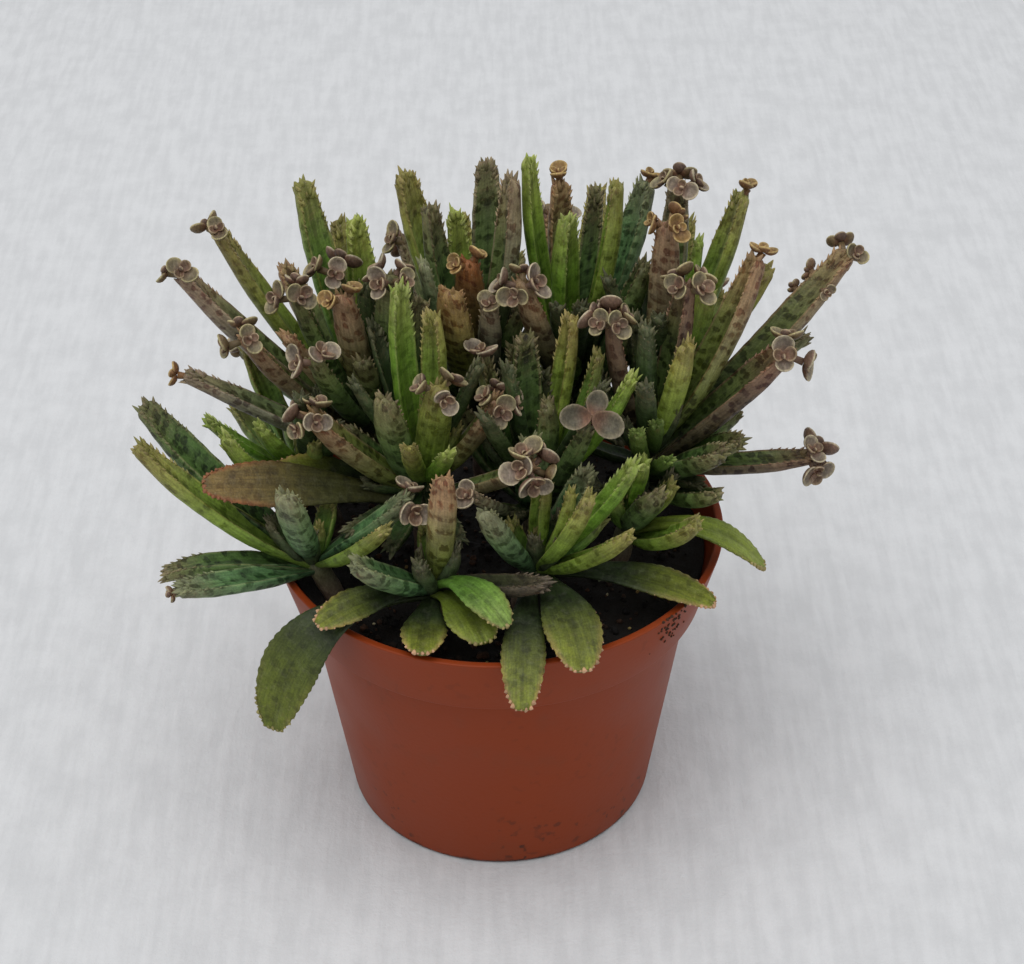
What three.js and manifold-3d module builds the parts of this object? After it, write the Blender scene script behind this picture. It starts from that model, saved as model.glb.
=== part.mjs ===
// A potted chandelier plant: twelve small succulent plants in one nursery pot of soil.
// Millimetres, +Z up. The origin is on the pot's axis, at the face that the pot stands on.
import * as THREE from 'three';
import { mergeVertices } from 'three/addons/utils/BufferGeometryUtils.js';
import Module from 'manifold-3d';

const wasm = await Module();
wasm.setup();

// Driving dimensions of the pot
const POT_HEIGHT = 75;
const RIM_RADIUS = 52.5;
const BAND_HEIGHT = 16;
const BAND_FOOT_RADIUS = 48.2;
const WALL_TOP_RADIUS = 45.5;
const FOOT_RADIUS = 36.8;
const WALL = 1.8;
const FLOOR = 3.3;
const FOOT_RING_WIDTH = 6;
const FOOT_RECESS = 1.5;
const CENTRE_PAD_RADIUS = 12;
const DRAIN_HOLES = 6;
const DRAIN_HOLE_RADIUS = 3;
const DRAIN_CIRCLE_RADIUS = 21;
const DRAIN_HOLE_SIDES = 10;
const BEVEL = 0.6;
const FOOT_BEVEL = 1;
const STEP_HALF = 2;
const POT_SECTORS = 36;

// Driving dimensions of the soil
const SOIL_TOP = 68;
const SOIL_BUMP = 0.7;
const SHORT_WAVE = 22;
const LONG_WAVE = 42;
const SOIL_RINGS = 4;
const GAP = 0.3;

// Driving dimensions of the plants
const STEM_RADIUS = 2.7;
const STEM_DEPTH = 10;
const STEM_SIDES = 8;
const STEM_TOP_RADIUS = 1.4;
const STEM_OVER_TOP = 2;
const STEM_TAPER_FROM = 0.9;
const LOWEST_LEAF = 0.6;
const TUBE_SAG = 0.03;
const BLADE_THICKNESS = 2.4;
const TOOTH_LENGTH = 1.5;
const PLANTLET_RADIUS = 3.5;
const PLANTLET_REACH = 2.4;
const PLANTLET_HOLLOW = 1.4;
const PLANTLET_NARROW = 0.75;
const PLANTLET_SIDES = 6;
const CLUSTER_TILT = THREE.MathUtils.degToRad(54);
const PAIR_TILT = THREE.MathUtils.degToRad(40);
const CLUSTER_PHASE = 0.25;
const SEAT_SHARE = 0.35;
const SEAT_DEPTH = 2.4;
const SEAT_DROP = 0.25;

// Shapes of leaves: sections as shares of the half width, and where along the leaf the rings stand
const TUBE_ROOT = 0.5;
const TUBE_FULL_FROM = 0.4;
const TUBE_TAPER = 0.32;
const TUBE_TAPER_FROM = 0.7;
const TIP_HOLLOW = 1.8;
const TUBE_STOPS = [0, 0.32, 0.64, 1];
const LONG_TUBE_STOPS = [0, 0.25, 0.5, 0.76, 1];
const LONG_TUBE = 38;
const TUBE_OUTLINE = [[0.98, 0.35], [0, 0.1], [-0.98, 0.35], [-0.62, -0.72], [0.62, -0.72]];
const PETIOLE = 0.42;
const PETIOLE_END = 0.2;
const BLADE_FULL_FROM = 0.74;
const BLADE_ROUND_FROM = 0.68;
const BLADE_ROUND_LENGTH = 0.335;
const BLADE_CUP = 0.12;
const BLADE_NOSE = 0.6;
const CRENATION = 0.05;
const BLADE_STOPS = [0, 0.25, 0.48, 0.6, 0.7, 0.8, 0.89, 0.96, 1];
const BLADE_OUTLINE = [[1, 0], [0.5, 0.4], [-0.5, 0.4], [-1, 0], [-0.5, -0.5], [0.5, -0.5]];

// How leaves make room for each other
const STATIONS = 13;
const FIRST_STATION = 0.14;
const STEM_STATIONS = 5;
const BLADE_LANE = 0.62;
const BLADE_LANE_RADIUS = 0.22;
const BLADE_HALF_THICK = 1;
const CLUSTER_RADIUS = 5.8;
const SINGLE_RADIUS = 3.8;
const KIN_FROM = 0.45;
const PAIR_REACH = 26;
const CLEARANCE = 0.6;
const ROUNDS = 260;
const STEP = 0.14;
const GIVE = new THREE.Vector3(0.45, 1, 0.45);
const RIM_HALF = 1.2;

// A leaf is given by the place of its tip, its width and how many plantlets it carries.
const tube = (x, y, z, width, plantlets = 0) => ({
  form: 'tube', tip: new THREE.Vector3(x, y, z), width, plantlets, arch: 0, turn: 0, roll: 0,
});
// A blade also has the height of its arch, the turn of its end away from lying crosswise, and its roll.
const blade = (x, y, z, width, arch, turn = 0, roll = 0) => ({
  form: 'blade', tip: new THREE.Vector3(x, y, z), width, plantlets: 0, arch, turn, roll,
});

// Each plant: where its stem leaves the soil, where the stem ends, and its leaves, lowest first.
const PLANTS = [
  {
    name: 'plant_front_left', color: '#5d7a3e', foot: [-37, -19], top: [-42, -18, 79], leaves: [
      tube(-74, -25, 78, 7), tube(-71, -33, 82, 6.5), tube(-78.5, -14, 110, 7.5),
      tube(-23, -33, 100, 5.5), tube(-19, -29, 102, 7, 2), tube(-45, -36, 110, 7),
      tube(-77.5, -4, 113.5, 8),
    ],
  },
  {
    name: 'plant_front_middle', color: '#6b6a48', foot: [-15, -27], top: [-14, -28, 79], leaves: [
      blade(-50.2, -46, 53, 14, 14, 40), blade(-15, -50, 75, 10.5, 2), blade(-4, -49, 77, 12, 2),
      blade(-39, -42, 78, 9, 3, 0, -15), tube(-31, -42, 95, 8), blade(2, -47, 82, 9.5, 5),
      tube(12, -42, 83, 6.5), tube(-11.5, -34, 113, 6.5),
    ],
  },
  {
    name: 'plant_front_right', color: '#6d8a3c', foot: [5, -22], top: [9, -22, 80], leaves: [
      blade(6.5, -57, 71, 10, 7), blade(14, -56, 75.5, 13, 4), blade(47, -32, 73, 11, 4),
      tube(-3, -38, 106, 6.4), tube(28, -37, 99, 6.2), tube(23, -18, 90, 6), tube(20, -28, 105, 6.5),
      tube(19, -15, 102, 6.5), tube(17, -24, 99, 5), tube(29, -24, 108, 6.2), tube(13, -20, 99, 6),
    ],
  },
  {
    name: 'plant_right_front', color: '#5f6b34', foot: [27, -10], top: [30, -10, 82], leaves: [
      tube(43, -25, 95, 7), blade(59, -14, 78, 9.5, 11), tube(37, -20, 97, 7.5), tube(37, -13, 95, 6),
      tube(35, -10, 101, 6),
    ],
  },
  {
    name: 'plant_left', color: '#55803a', foot: [-38, 6], top: [-43, 6, 84], leaves: [
      tube(-62, 25, 92, 7), tube(-48, 4, 99, 5.5), tube(-55, 20, 112, 6), tube(-60, -9, 107.5, 6.5),
      tube(-64, -4, 108, 5), tube(-54, -5, 105, 6.5),
    ],
  },
  {
    name: 'plant_centre_left', color: '#6f6a45', foot: [-17, -2], top: [-17, -1, 90], leaves: [
      blade(-65, -18, 100, 12, 2, 0, -30), blade(-52, -8, 98, 12, 1, 0, -30), tube(8, -24, 107, 6, 5),
      tube(-34, 2, 100, 7), tube(-41, -12, 114, 8.5, 4), tube(-23, -14, 120, 8),
      tube(-72.5, -2, 110, 6.5, 1), tube(-13, -11, 120, 8, 3), tube(0, -7, 115, 7.5, 4),
      tube(-19, -26, 114, 4.5), tube(-10, -26, 113, 4.5), tube(-17, 12, 130, 6.5),
      tube(-20, 4, 137, 6.5), tube(-14, 2, 132, 6.5),
    ],
  },
  {
    name: 'plant_centre', color: '#4f6238', foot: [8, -4], top: [9, -3, 86], leaves: [
      tube(21, -18, 113, 6, 3), tube(8, -12, 108, 8), tube(-6, -28, 104, 4.5, 1), tube(-8, 7, 104, 6.5),
      tube(-2, 2, 119, 6, 1), tube(11, -4, 112, 7), tube(0, 9, 108, 6), tube(6, 12, 118, 7),
      tube(8, 6, 123, 7), tube(18, 2, 128, 6.5), tube(23, 2, 123, 5.5), tube(30, -4, 119, 5.5),
      tube(25, 8, 109, 6),
    ],
  },
  {
    name: 'plant_right', color: '#5a5540', foot: [34, 4], top: [35, 4, 92], leaves: [
      tube(48, -18, 93, 7), tube(50, -14, 99, 8.5), tube(56, 8, 98, 6.5), tube(53, -5, 102, 7.5),
      tube(38, -14, 101, 4), tube(65, -2, 120.5, 9.5, 3), tube(32, -14, 108, 4),
      tube(73, -2, 93.5, 6.2, 4), tube(81.5, 26, 131.5, 8.2, 3), tube(35, -10, 108, 4),
      tube(42, -3, 126, 6.5), tube(23.5, 2, 127, 7, 5), tube(43, 6, 135, 8, 4),
      tube(56.5, 13, 139.5, 9, 1),
    ],
  },
  {
    name: 'plant_back_left', color: '#61563f', foot: [-28, 20], top: [-28, 20, 92], leaves: [
      blade(-42, 52, 84, 12, 6), tube(-62, 44, 96, 7, 2), tube(-70.5, 14, 134.5, 8.2, 2),
      tube(-63, 26, 138.5, 7.5, 2), tube(-56, 9, 124, 7, 3), tube(-47, 4, 124, 5.5),
      tube(-31, 8, 118, 6.5), tube(-41, 2, 122, 6, 2), tube(-44, 16, 129, 7, 3), tube(-50, 42, 120, 7),
      tube(-37, 50, 128, 6.5), tube(-31.5, 8, 132, 7, 2), tube(-37, 22, 130, 6.5, 3),
      tube(-23, 12, 134, 8, 4), tube(-43, 38, 145, 7.5), tube(-33, 34, 137, 7), tube(-20, 30, 124, 7),
    ],
  },
  {
    name: 'plant_back_middle', color: '#5e6e3a', foot: [-3, 24], top: [-4, 24, 98], leaves: [
      tube(-12, 66, 92, 7, 2), tube(6, 60, 112, 7), tube(-22, 56, 119, 6.5, 3), tube(-8, 52, 128, 6.5),
      tube(-12, 18, 106, 6.5), tube(13, 20, 106, 7), tube(-2, 10, 129, 5.5, 1), tube(-9, 6, 136, 8.5),
      tube(-6, 13, 135, 7.5, 2), tube(-18, 12, 136, 5), tube(-14, 30, 144, 7), tube(-20, 36, 147, 8),
      tube(-7, 32, 140, 5.5), tube(-3, 34, 150, 7.5), tube(3.8, 28, 150.5, 8.2), tube(6, 22, 121, 7),
    ],
  },
  {
    name: 'plant_back_right', color: '#4f7a34', foot: [17, 26], top: [18, 26, 98], leaves: [
      blade(22, 61, 83, 12, 7), tube(30, 62, 104, 7), tube(14, 58, 124, 6.5, 3), tube(25, 54, 134, 6.5),
      tube(36, 14, 121, 7), tube(3, 8, 133, 7, 4), tube(33.5, 26, 130, 8.5), tube(16.5, 27, 141.5, 8.5),
      tube(9, 32, 153, 6), tube(15.8, 38, 143.5, 6.5, 1), tube(24, 40, 140, 5),
      tube(27.5, 25, 150.5, 7), tube(35, 39, 143, 8.2, 1),
    ],
  },
  {
    name: 'plant_right_back', color: '#655a44', foot: [33, 20], top: [38, 22, 96], leaves: [
      blade(60, 40, 86, 11, 5), tube(56, 52, 104, 7, 2), tube(74, 30, 106, 6.5), tube(49, 12, 129, 8),
      tube(46, 48, 128, 6.5), tube(39, 18, 144, 7.5, 3), tube(42, 32, 146, 7, 4),
      tube(46, 20, 137, 4.5), tube(56.5, 29, 145, 7.5, 1), tube(62, 20, 131, 8),
    ],
  },
];

// Solids from geometries, and geometries from solids

function solidOf(geometry) {
  const bare = geometry.clone();
  bare.deleteAttribute('normal');
  bare.deleteAttribute('uv');
  const merged = mergeVertices(bare, 1e-4);
  return new wasm.Manifold(new wasm.Mesh({
    numProp: 3,
    vertProperties: new Float32Array(merged.attributes.position.array),
    triVerts: new Uint32Array(merged.index.array),
  }));
}

function geometryOf(solid) {
  const mesh = solid.getMesh();
  const geometry = new THREE.BufferGeometry();
  geometry.setAttribute('position', new THREE.BufferAttribute(new Float32Array(mesh.vertProperties), 3));
  geometry.setIndex(new THREE.BufferAttribute(new Uint32Array(mesh.triVerts), 1));
  return geometry;
}

// A closed skin over rings of points. Each end is a fan of triangles to its own centre point.
function loft(rings, startCentre, endCentre) {
  const sides = rings[0].length;
  const points = [...rings.flat(), startCentre, endCentre];
  const start = points.length - 2;
  const end = points.length - 1;
  const last = (rings.length - 1) * sides;
  const faces = [];
  for (let k = 0; k < sides; k += 1) {
    const next = (k + 1) % sides;
    for (let r = 0; r < rings.length - 1; r += 1) {
      const a = r * sides + k;
      const b = r * sides + next;
      faces.push(a, b, b + sides, a, b + sides, a + sides);
    }
    faces.push(start, next, k);
    faces.push(end, last + k, last + next);
  }
  const geometry = new THREE.BufferGeometry();
  geometry.setAttribute('position', new THREE.Float32BufferAttribute(points.flatMap((p) => p.toArray()), 3));
  geometry.setIndex(faces);
  return geometry;
}

// The course of a leaf: a curve from the stem, with one bend point, to the tip

function stemPoint(plant, fraction) {
  const foot = new THREE.Vector3(plant.foot[0], plant.foot[1], SOIL_TOP);
  return foot.lerp(new THREE.Vector3(...plant.top), fraction);
}

function placeLeaf(plant, leaf, order) {
  const fraction = LOWEST_LEAF + (1 - LOWEST_LEAF) * (order + 1) / plant.leaves.length;
  leaf.base = stemPoint(plant, fraction);
  const chord = leaf.tip.clone().sub(leaf.base);
  leaf.side = new THREE.Vector3(-chord.y, chord.x, 0);
  if (leaf.side.length() < 1) {
    leaf.side.set(-1, 0, 0);
  }
  const level = chord.clone().normalize();
  leaf.side.normalize().applyAxisAngle(new THREE.Vector3(0, 0, 1), THREE.MathUtils.degToRad(leaf.turn));
  leaf.side.applyAxisAngle(level, THREE.MathUtils.degToRad(leaf.roll));
  const droop = new THREE.Vector3(0, 0, -1).addScaledVector(level, level.z).normalize();
  const sag = leaf.form === 'tube' ? TUBE_SAG * chord.length() : -leaf.arch;
  leaf.bend = leaf.base.clone().add(leaf.tip).multiplyScalar(0.5).addScaledVector(droop, 2 * sag);
}

// The middle of the leaf at a fraction of its length, with the way it points and its channel side
function stationOf(leaf, t) {
  const s = 1 - t;
  const middle = leaf.base.clone().multiplyScalar(s * s)
    .addScaledVector(leaf.bend, 2 * s * t).addScaledVector(leaf.tip, t * t);
  const forward = leaf.bend.clone().sub(leaf.base).multiplyScalar(s)
    .addScaledVector(leaf.tip, t).addScaledVector(leaf.bend, -t).normalize();
  const across = leaf.side.clone().addScaledVector(forward, -leaf.side.dot(forward)).normalize();
  const channel = forward.clone().cross(across);
  return { middle, forward, channel, across };
}

// The share of its full width that a leaf has at a fraction of its length
function fullness(leaf, t) {
  if (leaf.form === 'tube') {
    return TUBE_ROOT + (1 - TUBE_ROOT) * THREE.MathUtils.smoothstep(t, 0, TUBE_FULL_FROM)
      - TUBE_TAPER * THREE.MathUtils.smoothstep(t, TUBE_TAPER_FROM, 1);
  }
  const spread = PETIOLE + (1 - PETIOLE) * THREE.MathUtils.smoothstep(t, PETIOLE_END, BLADE_FULL_FROM);
  const past = Math.max(0, (t - BLADE_ROUND_FROM) / BLADE_ROUND_LENGTH);
  return spread * Math.sqrt(1 - past * past);
}

// Leaves share the room over the pot, so each bends clear of its neighbours, of stems, rim and soil

function touchStations(plants) {
  const stations = [];
  plants.forEach((plant, owner) => {
    plant.leaves.forEach((leaf) => {
      const lanes = leaf.form === 'tube' ? [0] : [-BLADE_LANE, 0, BLADE_LANE];
      for (let k = 1; k <= STATIONS; k += 1) {
        const t = FIRST_STATION + (1 - FIRST_STATION) * k / STATIONS;
        const half = leaf.width / 2 * fullness(leaf, t);
        lanes.forEach((lane) => stations.push({
          owner, leaf, t, offset: leaf.side.clone().multiplyScalar(lane * half),
          radius: leaf.form === 'tube' ? half : half * BLADE_LANE_RADIUS + BLADE_HALF_THICK,
        }));
      }
      if (leaf.plantlets > 0) {
        const radius = leaf.plantlets > 1 ? CLUSTER_RADIUS : SINGLE_RADIUS;
        stations.push({ owner, leaf, t: 1, offset: new THREE.Vector3(), radius });
      }
    });
    for (let k = 0; k <= STEM_STATIONS; k += 1) {
      const point = stemPoint(plant, k / STEM_STATIONS);
      stations.push({ owner, leaf: null, t: 0, offset: new THREE.Vector3(), radius: STEM_RADIUS, point });
    }
  });
  return stations;
}

function nearPairs(stations) {
  const pairs = [];
  for (let i = 0; i < stations.length; i += 1) {
    for (let j = i + 1; j < stations.length; j += 1) {
      const a = stations[i];
      const b = stations[j];
      const kin = a.owner === b.owner;
      const rooted = kin && Math.min(a.t, b.t) < KIN_FROM;
      const fixed = a.leaf === null && b.leaf === null;
      if (a.leaf !== b.leaf && !rooted && !fixed && a.point.distanceTo(b.point) < PAIR_REACH) {
        pairs.push([a, b, a.radius + b.radius + (kin ? 0 : CLEARANCE)]);
      }
    }
  }
  return pairs;
}

function pointAt(station) {
  const { leaf, t, offset } = station;
  if (leaf === null) {
    return station.point;
  }
  const s = 1 - t;
  return leaf.base.clone().multiplyScalar(s * s).addScaledVector(leaf.bend, 2 * s * t)
    .addScaledVector(leaf.tip, t * t).add(offset);
}

function shove(station, direction, amount) {
  if (station.leaf === null) {
    return;
  }
  const push = direction.clone().multiplyScalar(amount).multiply(GIVE);
  const { leaf, t } = station;
  leaf.bendPush.addScaledVector(push, 2 * (1 - t) * t);
  leaf.tipPush.addScaledVector(push, t * t);
}

// The rim and the soil hold a leaf off as well.
function pushOffPot(station) {
  const { point, radius } = station;
  const distance = Math.hypot(point.x, point.y);
  const rimZ = THREE.MathUtils.clamp(point.z, POT_HEIGHT - BAND_HEIGHT, POT_HEIGHT - RIM_HALF);
  const off = new THREE.Vector2(distance - (RIM_RADIUS - RIM_HALF), point.z - rimZ);
  const need = radius + RIM_HALF + CLEARANCE;
  if (off.length() < need) {
    const outward = new THREE.Vector3(point.x / distance, point.y / distance, 0).multiplyScalar(off.x);
    outward.z = off.y;
    shove(station, outward.normalize(), STEP * 2 * (need - off.length()));
  }
  const floor = SOIL_TOP + SOIL_BUMP + radius + CLEARANCE;
  if (distance < RIM_RADIUS - RIM_HALF && point.z < floor) {
    shove(station, new THREE.Vector3(0, 0, 1), STEP * 2 * (floor - point.z));
  }
}

function settle(plants) {
  const leaves = plants.flatMap((plant) => plant.leaves);
  const stations = touchStations(plants);
  stations.forEach((station) => {
    station.point = pointAt(station);
  });
  const pairs = nearPairs(stations);
  for (let round = 0; round < ROUNDS; round += 1) {
    leaves.forEach((leaf) => {
      leaf.bendPush = new THREE.Vector3();
      leaf.tipPush = new THREE.Vector3();
    });
    stations.forEach((station) => {
      station.point = pointAt(station);
    });
    pairs.forEach(([a, b, need]) => {
      const apart = a.point.distanceTo(b.point);
      if (apart < need) {
        const away = a.point.clone().sub(b.point).divideScalar(apart);
        shove(a, away, STEP * (need - apart));
        shove(b, away, -STEP * (need - apart));
      }
    });
    stations.filter((station) => station.leaf !== null).forEach(pushOffPot);
    leaves.forEach((leaf) => {
      leaf.bend.add(leaf.bendPush);
      leaf.tip.add(leaf.tipPush);
    });
  }
}

// Leaves, stems and plantlets

function tubeSection(half) {
  return TUBE_OUTLINE.map(([x, y]) => [x * half, y * half]);
}

function bladeSection(half) {
  return BLADE_OUTLINE.map(([x, y]) => [x * half, y * BLADE_THICKNESS + BLADE_CUP * x * x * half]);
}

function ringAt(leaf, t, scallop) {
  const { middle, forward, channel, across } = stationOf(leaf, t);
  const half = leaf.width / 2 * fullness(leaf, t) * scallop;
  const section = leaf.form === 'tube' ? tubeSection(half) : bladeSection(half);
  const points = section.map(([x, y]) => middle.clone()
    .addScaledVector(across, x).addScaledVector(channel, y));
  return { points, middle, forward };
}

function leafSolid(leaf) {
  const long = leaf.tip.distanceTo(leaf.base) > LONG_TUBE;
  const tubeStops = long ? LONG_TUBE_STOPS : TUBE_STOPS;
  const stops = leaf.form === 'tube' ? tubeStops : BLADE_STOPS;
  const rings = stops.map((t, k) => {
    const scalloped = leaf.form === 'blade' && t > PETIOLE_END * 2;
    return ringAt(leaf, t, scalloped ? 1 + CRENATION * (k % 2 ? 1 : -1) : 1);
  });
  const tip = rings[rings.length - 1];
  tip.points.forEach((point, k) => {
    const tooth = k % 2 ? 0 : TOOTH_LENGTH;
    point.addScaledVector(tip.forward, leaf.form === 'tube' ? tooth : 0);
  });
  const hollow = leaf.form === 'tube' ? -TIP_HOLLOW : BLADE_NOSE;
  const end = tip.middle.clone().addScaledVector(tip.forward, hollow);
  return solidOf(loft(rings.map((ring) => ring.points), rings[0].middle, end));
}

// One plantlet points straight on, two lean apart and more lean further out.
function tiltOf(plantlets) {
  if (plantlets === 1) {
    return 0;
  }
  return plantlets === 2 ? PAIR_TILT : CLUSTER_TILT;
}

// Plantlets stand in a ring round the toothed tip: each is a small cup on its own stalk.
function plantletSolids(leaf) {
  const { middle, forward, channel, across } = stationOf(leaf, 1);
  const tilt = tiltOf(leaf.plantlets);
  const solids = [];
  for (let k = 0; k < leaf.plantlets; k += 1) {
    const turn = 2 * Math.PI * (k + CLUSTER_PHASE) / leaf.plantlets;
    const sideways = across.clone().multiplyScalar(Math.cos(turn)).addScaledVector(channel, Math.sin(turn));
    const axis = forward.clone().multiplyScalar(Math.cos(tilt)).addScaledVector(sideways, Math.sin(tilt));
    const tangent = forward.clone().cross(sideways).normalize();
    const upright = axis.clone().cross(tangent);
    const [wide, narrow] = k % 2 ? [tangent, upright] : [upright, tangent];
    const seat = middle.clone().addScaledVector(sideways, Math.sin(tilt) * SEAT_SHARE * leaf.width / 2)
      .addScaledVector(channel, -SEAT_DROP * leaf.width / 2).addScaledVector(forward, -SEAT_DEPTH);
    const cup = seat.clone().addScaledVector(axis, PLANTLET_REACH + SEAT_DEPTH);
    const rim = [];
    for (let side = 0; side < PLANTLET_SIDES; side += 1) {
      const angle = 2 * Math.PI * side / PLANTLET_SIDES;
      rim.push(cup.clone()
        .addScaledVector(wide, PLANTLET_RADIUS * Math.cos(angle))
        .addScaledVector(narrow, PLANTLET_RADIUS * PLANTLET_NARROW * Math.sin(angle)));
    }
    const hollow = seat.clone().addScaledVector(axis, PLANTLET_REACH + SEAT_DEPTH - PLANTLET_HOLLOW);
    solids.push(solidOf(cupGeometry(seat, rim, hollow, axis)));
  }
  return solids;
}

// A cup: walls from its rim down to a point, and a shallow hollow inside the rim
function cupGeometry(point, rim, hollow, axis) {
  const points = [point, hollow, ...rim];
  const turn = rim[1].clone().sub(rim[0]).cross(rim[2].clone().sub(rim[0])).dot(axis) > 0;
  const faces = [];
  for (let k = 0; k < rim.length; k += 1) {
    const a = 2 + k;
    const b = 2 + (k + 1) % rim.length;
    faces.push(...(turn ? [0, b, a, 1, a, b] : [0, a, b, 1, b, a]));
  }
  const geometry = new THREE.BufferGeometry();
  geometry.setAttribute('position', new THREE.Float32BufferAttribute(points.flatMap((p) => p.toArray()), 3));
  geometry.setIndex(faces);
  return geometry;
}

// A stem, swollen by clearance where it has to cut its own hole in the soil
function stemSolid(plant, clearance) {
  const lean = new THREE.Vector3(...plant.top).sub(stemPoint(plant, 0)).normalize();
  const bottom = stemPoint(plant, 0).addScaledVector(lean, -(STEM_DEPTH + clearance) / lean.z);
  const top = new THREE.Vector3(...plant.top).addScaledVector(lean, STEM_OVER_TOP);
  const stops = [[0, STEM_RADIUS], [STEM_TAPER_FROM, STEM_RADIUS], [1, STEM_TOP_RADIUS]];
  const rings = stops.map(([share, radius]) => {
    const ring = [];
    for (let side = 0; side < STEM_SIDES; side += 1) {
      const angle = 2 * Math.PI * side / STEM_SIDES;
      ring.push(bottom.clone().lerp(top, share).add(new THREE.Vector3(
        (radius + clearance) * Math.cos(angle), (radius + clearance) * Math.sin(angle), 0,
      )));
    }
    return ring;
  });
  return solidOf(loft(rings, bottom, top));
}

// The one body with its outer skin alone, so that no hollow is left sealed between crossing leaves
function outerBody(solid) {
  const bodies = solid.decompose();
  return bodies.reduce((most, body) => (body.volume() > most.volume() ? body : most));
}

function plantGeometry(plant) {
  let solid = stemSolid(plant, 0);
  plant.leaves.forEach((leaf) => {
    solid = solid.add(leafSolid(leaf));
    plantletSolids(leaf).forEach((plantlet) => {
      solid = solid.add(plantlet);
    });
  });
  return geometryOf(outerBody(solid));
}

// Pot and soil

function lathe(profile) {
  const geometry = new THREE.LatheGeometry(profile.map(([r, z]) => new THREE.Vector2(r, z)), POT_SECTORS);
  geometry.rotateX(Math.PI / 2);
  return geometry;
}

function potGeometry() {
  const bandFoot = POT_HEIGHT - BAND_HEIGHT;
  const ringInside = FOOT_RADIUS - FOOT_RING_WIDTH;
  const profile = [
    [0, 0], [CENTRE_PAD_RADIUS, 0], [CENTRE_PAD_RADIUS + FOOT_BEVEL, FOOT_RECESS],
    [ringInside - FOOT_BEVEL, FOOT_RECESS], [ringInside, 0],
    [FOOT_RADIUS - FOOT_BEVEL, 0], [FOOT_RADIUS, FOOT_BEVEL],
    [WALL_TOP_RADIUS, bandFoot], [BAND_FOOT_RADIUS - BEVEL, bandFoot], [BAND_FOOT_RADIUS, bandFoot + BEVEL],
    [RIM_RADIUS, POT_HEIGHT - BEVEL], [RIM_RADIUS - BEVEL, POT_HEIGHT], [RIM_RADIUS - WALL, POT_HEIGHT],
    [BAND_FOOT_RADIUS - WALL, bandFoot + STEP_HALF], [WALL_TOP_RADIUS - WALL, bandFoot - STEP_HALF],
    [FOOT_RADIUS - WALL, FLOOR], [0, FLOOR],
  ];
  let pot = solidOf(lathe(profile));
  for (let k = 0; k < DRAIN_HOLES; k += 1) {
    const angle = 2 * Math.PI * k / DRAIN_HOLES;
    const drill = new THREE.CylinderGeometry(
      DRAIN_HOLE_RADIUS, DRAIN_HOLE_RADIUS, 3 * FLOOR, DRAIN_HOLE_SIDES,
    );
    drill.rotateX(Math.PI / 2);
    drill.translate(DRAIN_CIRCLE_RADIUS * Math.cos(angle), DRAIN_CIRCLE_RADIUS * Math.sin(angle), FLOOR);
    pot = pot.subtract(solidOf(drill));
  }
  return geometryOf(pot);
}

// The top of the soil is uneven: short waves on long ones.
function soilHeight(x, y) {
  const short = 2 * Math.PI / SHORT_WAVE;
  const long = 2 * Math.PI / LONG_WAVE;
  const waves = Math.sin(x * short + 1) * Math.cos(y * short) + Math.sin((x - y) * long);
  return SOIL_TOP + SOIL_BUMP * waves / 2;
}

function soilGeometry() {
  const bandFoot = POT_HEIGHT - BAND_HEIGHT;
  const rimAtSoil = BAND_FOOT_RADIUS + (RIM_RADIUS - BAND_FOOT_RADIUS) * (SOIL_TOP - bandFoot) / BAND_HEIGHT;
  const inset = WALL + 2 * GAP;
  const topRadius = rimAtSoil - inset;
  const sides = [
    [FOOT_RADIUS - inset, FLOOR + GAP], [WALL_TOP_RADIUS - inset, bandFoot - STEP_HALF + GAP],
    [BAND_FOOT_RADIUS - inset, bandFoot + STEP_HALF + GAP],
  ];
  const ringOf = (radius, height) => {
    const ring = [];
    for (let k = 0; k < POT_SECTORS; k += 1) {
      const angle = 2 * Math.PI * k / POT_SECTORS;
      const x = radius * Math.cos(angle);
      const y = radius * Math.sin(angle);
      ring.push(new THREE.Vector3(x, y, height === null ? soilHeight(x, y) : height));
    }
    return ring;
  };
  const rings = sides.map(([radius, height]) => ringOf(radius, height));
  for (let k = 0; k < SOIL_RINGS; k += 1) {
    rings.push(ringOf(topRadius * (1 - k / SOIL_RINGS), null));
  }
  const bottom = new THREE.Vector3(0, 0, FLOOR + GAP);
  const middle = new THREE.Vector3(0, 0, soilHeight(0, 0));
  let soil = solidOf(loft(rings, bottom, middle));
  PLANTS.forEach((plant) => {
    soil = soil.subtract(stemSolid(plant, GAP));
  });
  return geometryOf(soil);
}

// The scene graph

function piece(name, geometry, color, roughness) {
  const material = new THREE.MeshStandardMaterial({ color, roughness, metalness: 0 });
  const mesh = new THREE.Mesh(geometry, material);
  mesh.name = name;
  return mesh;
}

PLANTS.forEach((plant) => {
  plant.leaves.forEach((leaf, order) => placeLeaf(plant, leaf, order));
});
settle(PLANTS);

const pottedPlant = new THREE.Group();
pottedPlant.name = 'potted_chandelier_plant';
pottedPlant.add(piece('pot', potGeometry(), '#7a3c28', 0.5));
pottedPlant.add(piece('soil', soilGeometry(), '#1d1712', 0.95));
PLANTS.forEach((plant) => {
  pottedPlant.add(piece(plant.name, plantGeometry(plant), plant.color, 0.6));
});

export default pottedPlant;
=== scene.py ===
"""A potted chandelier plant: twelve small succulents in a nursery pot, dressed for close views.

Lengths are in millimetres with +Z up, and become metres where a mesh is made. The leaves follow
the same table and the same rule for making room as the solids do.
"""

import math
from dataclasses import dataclass, field

import bpy
import numpy as np
from mathutils import Matrix, Vector, noise


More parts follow.
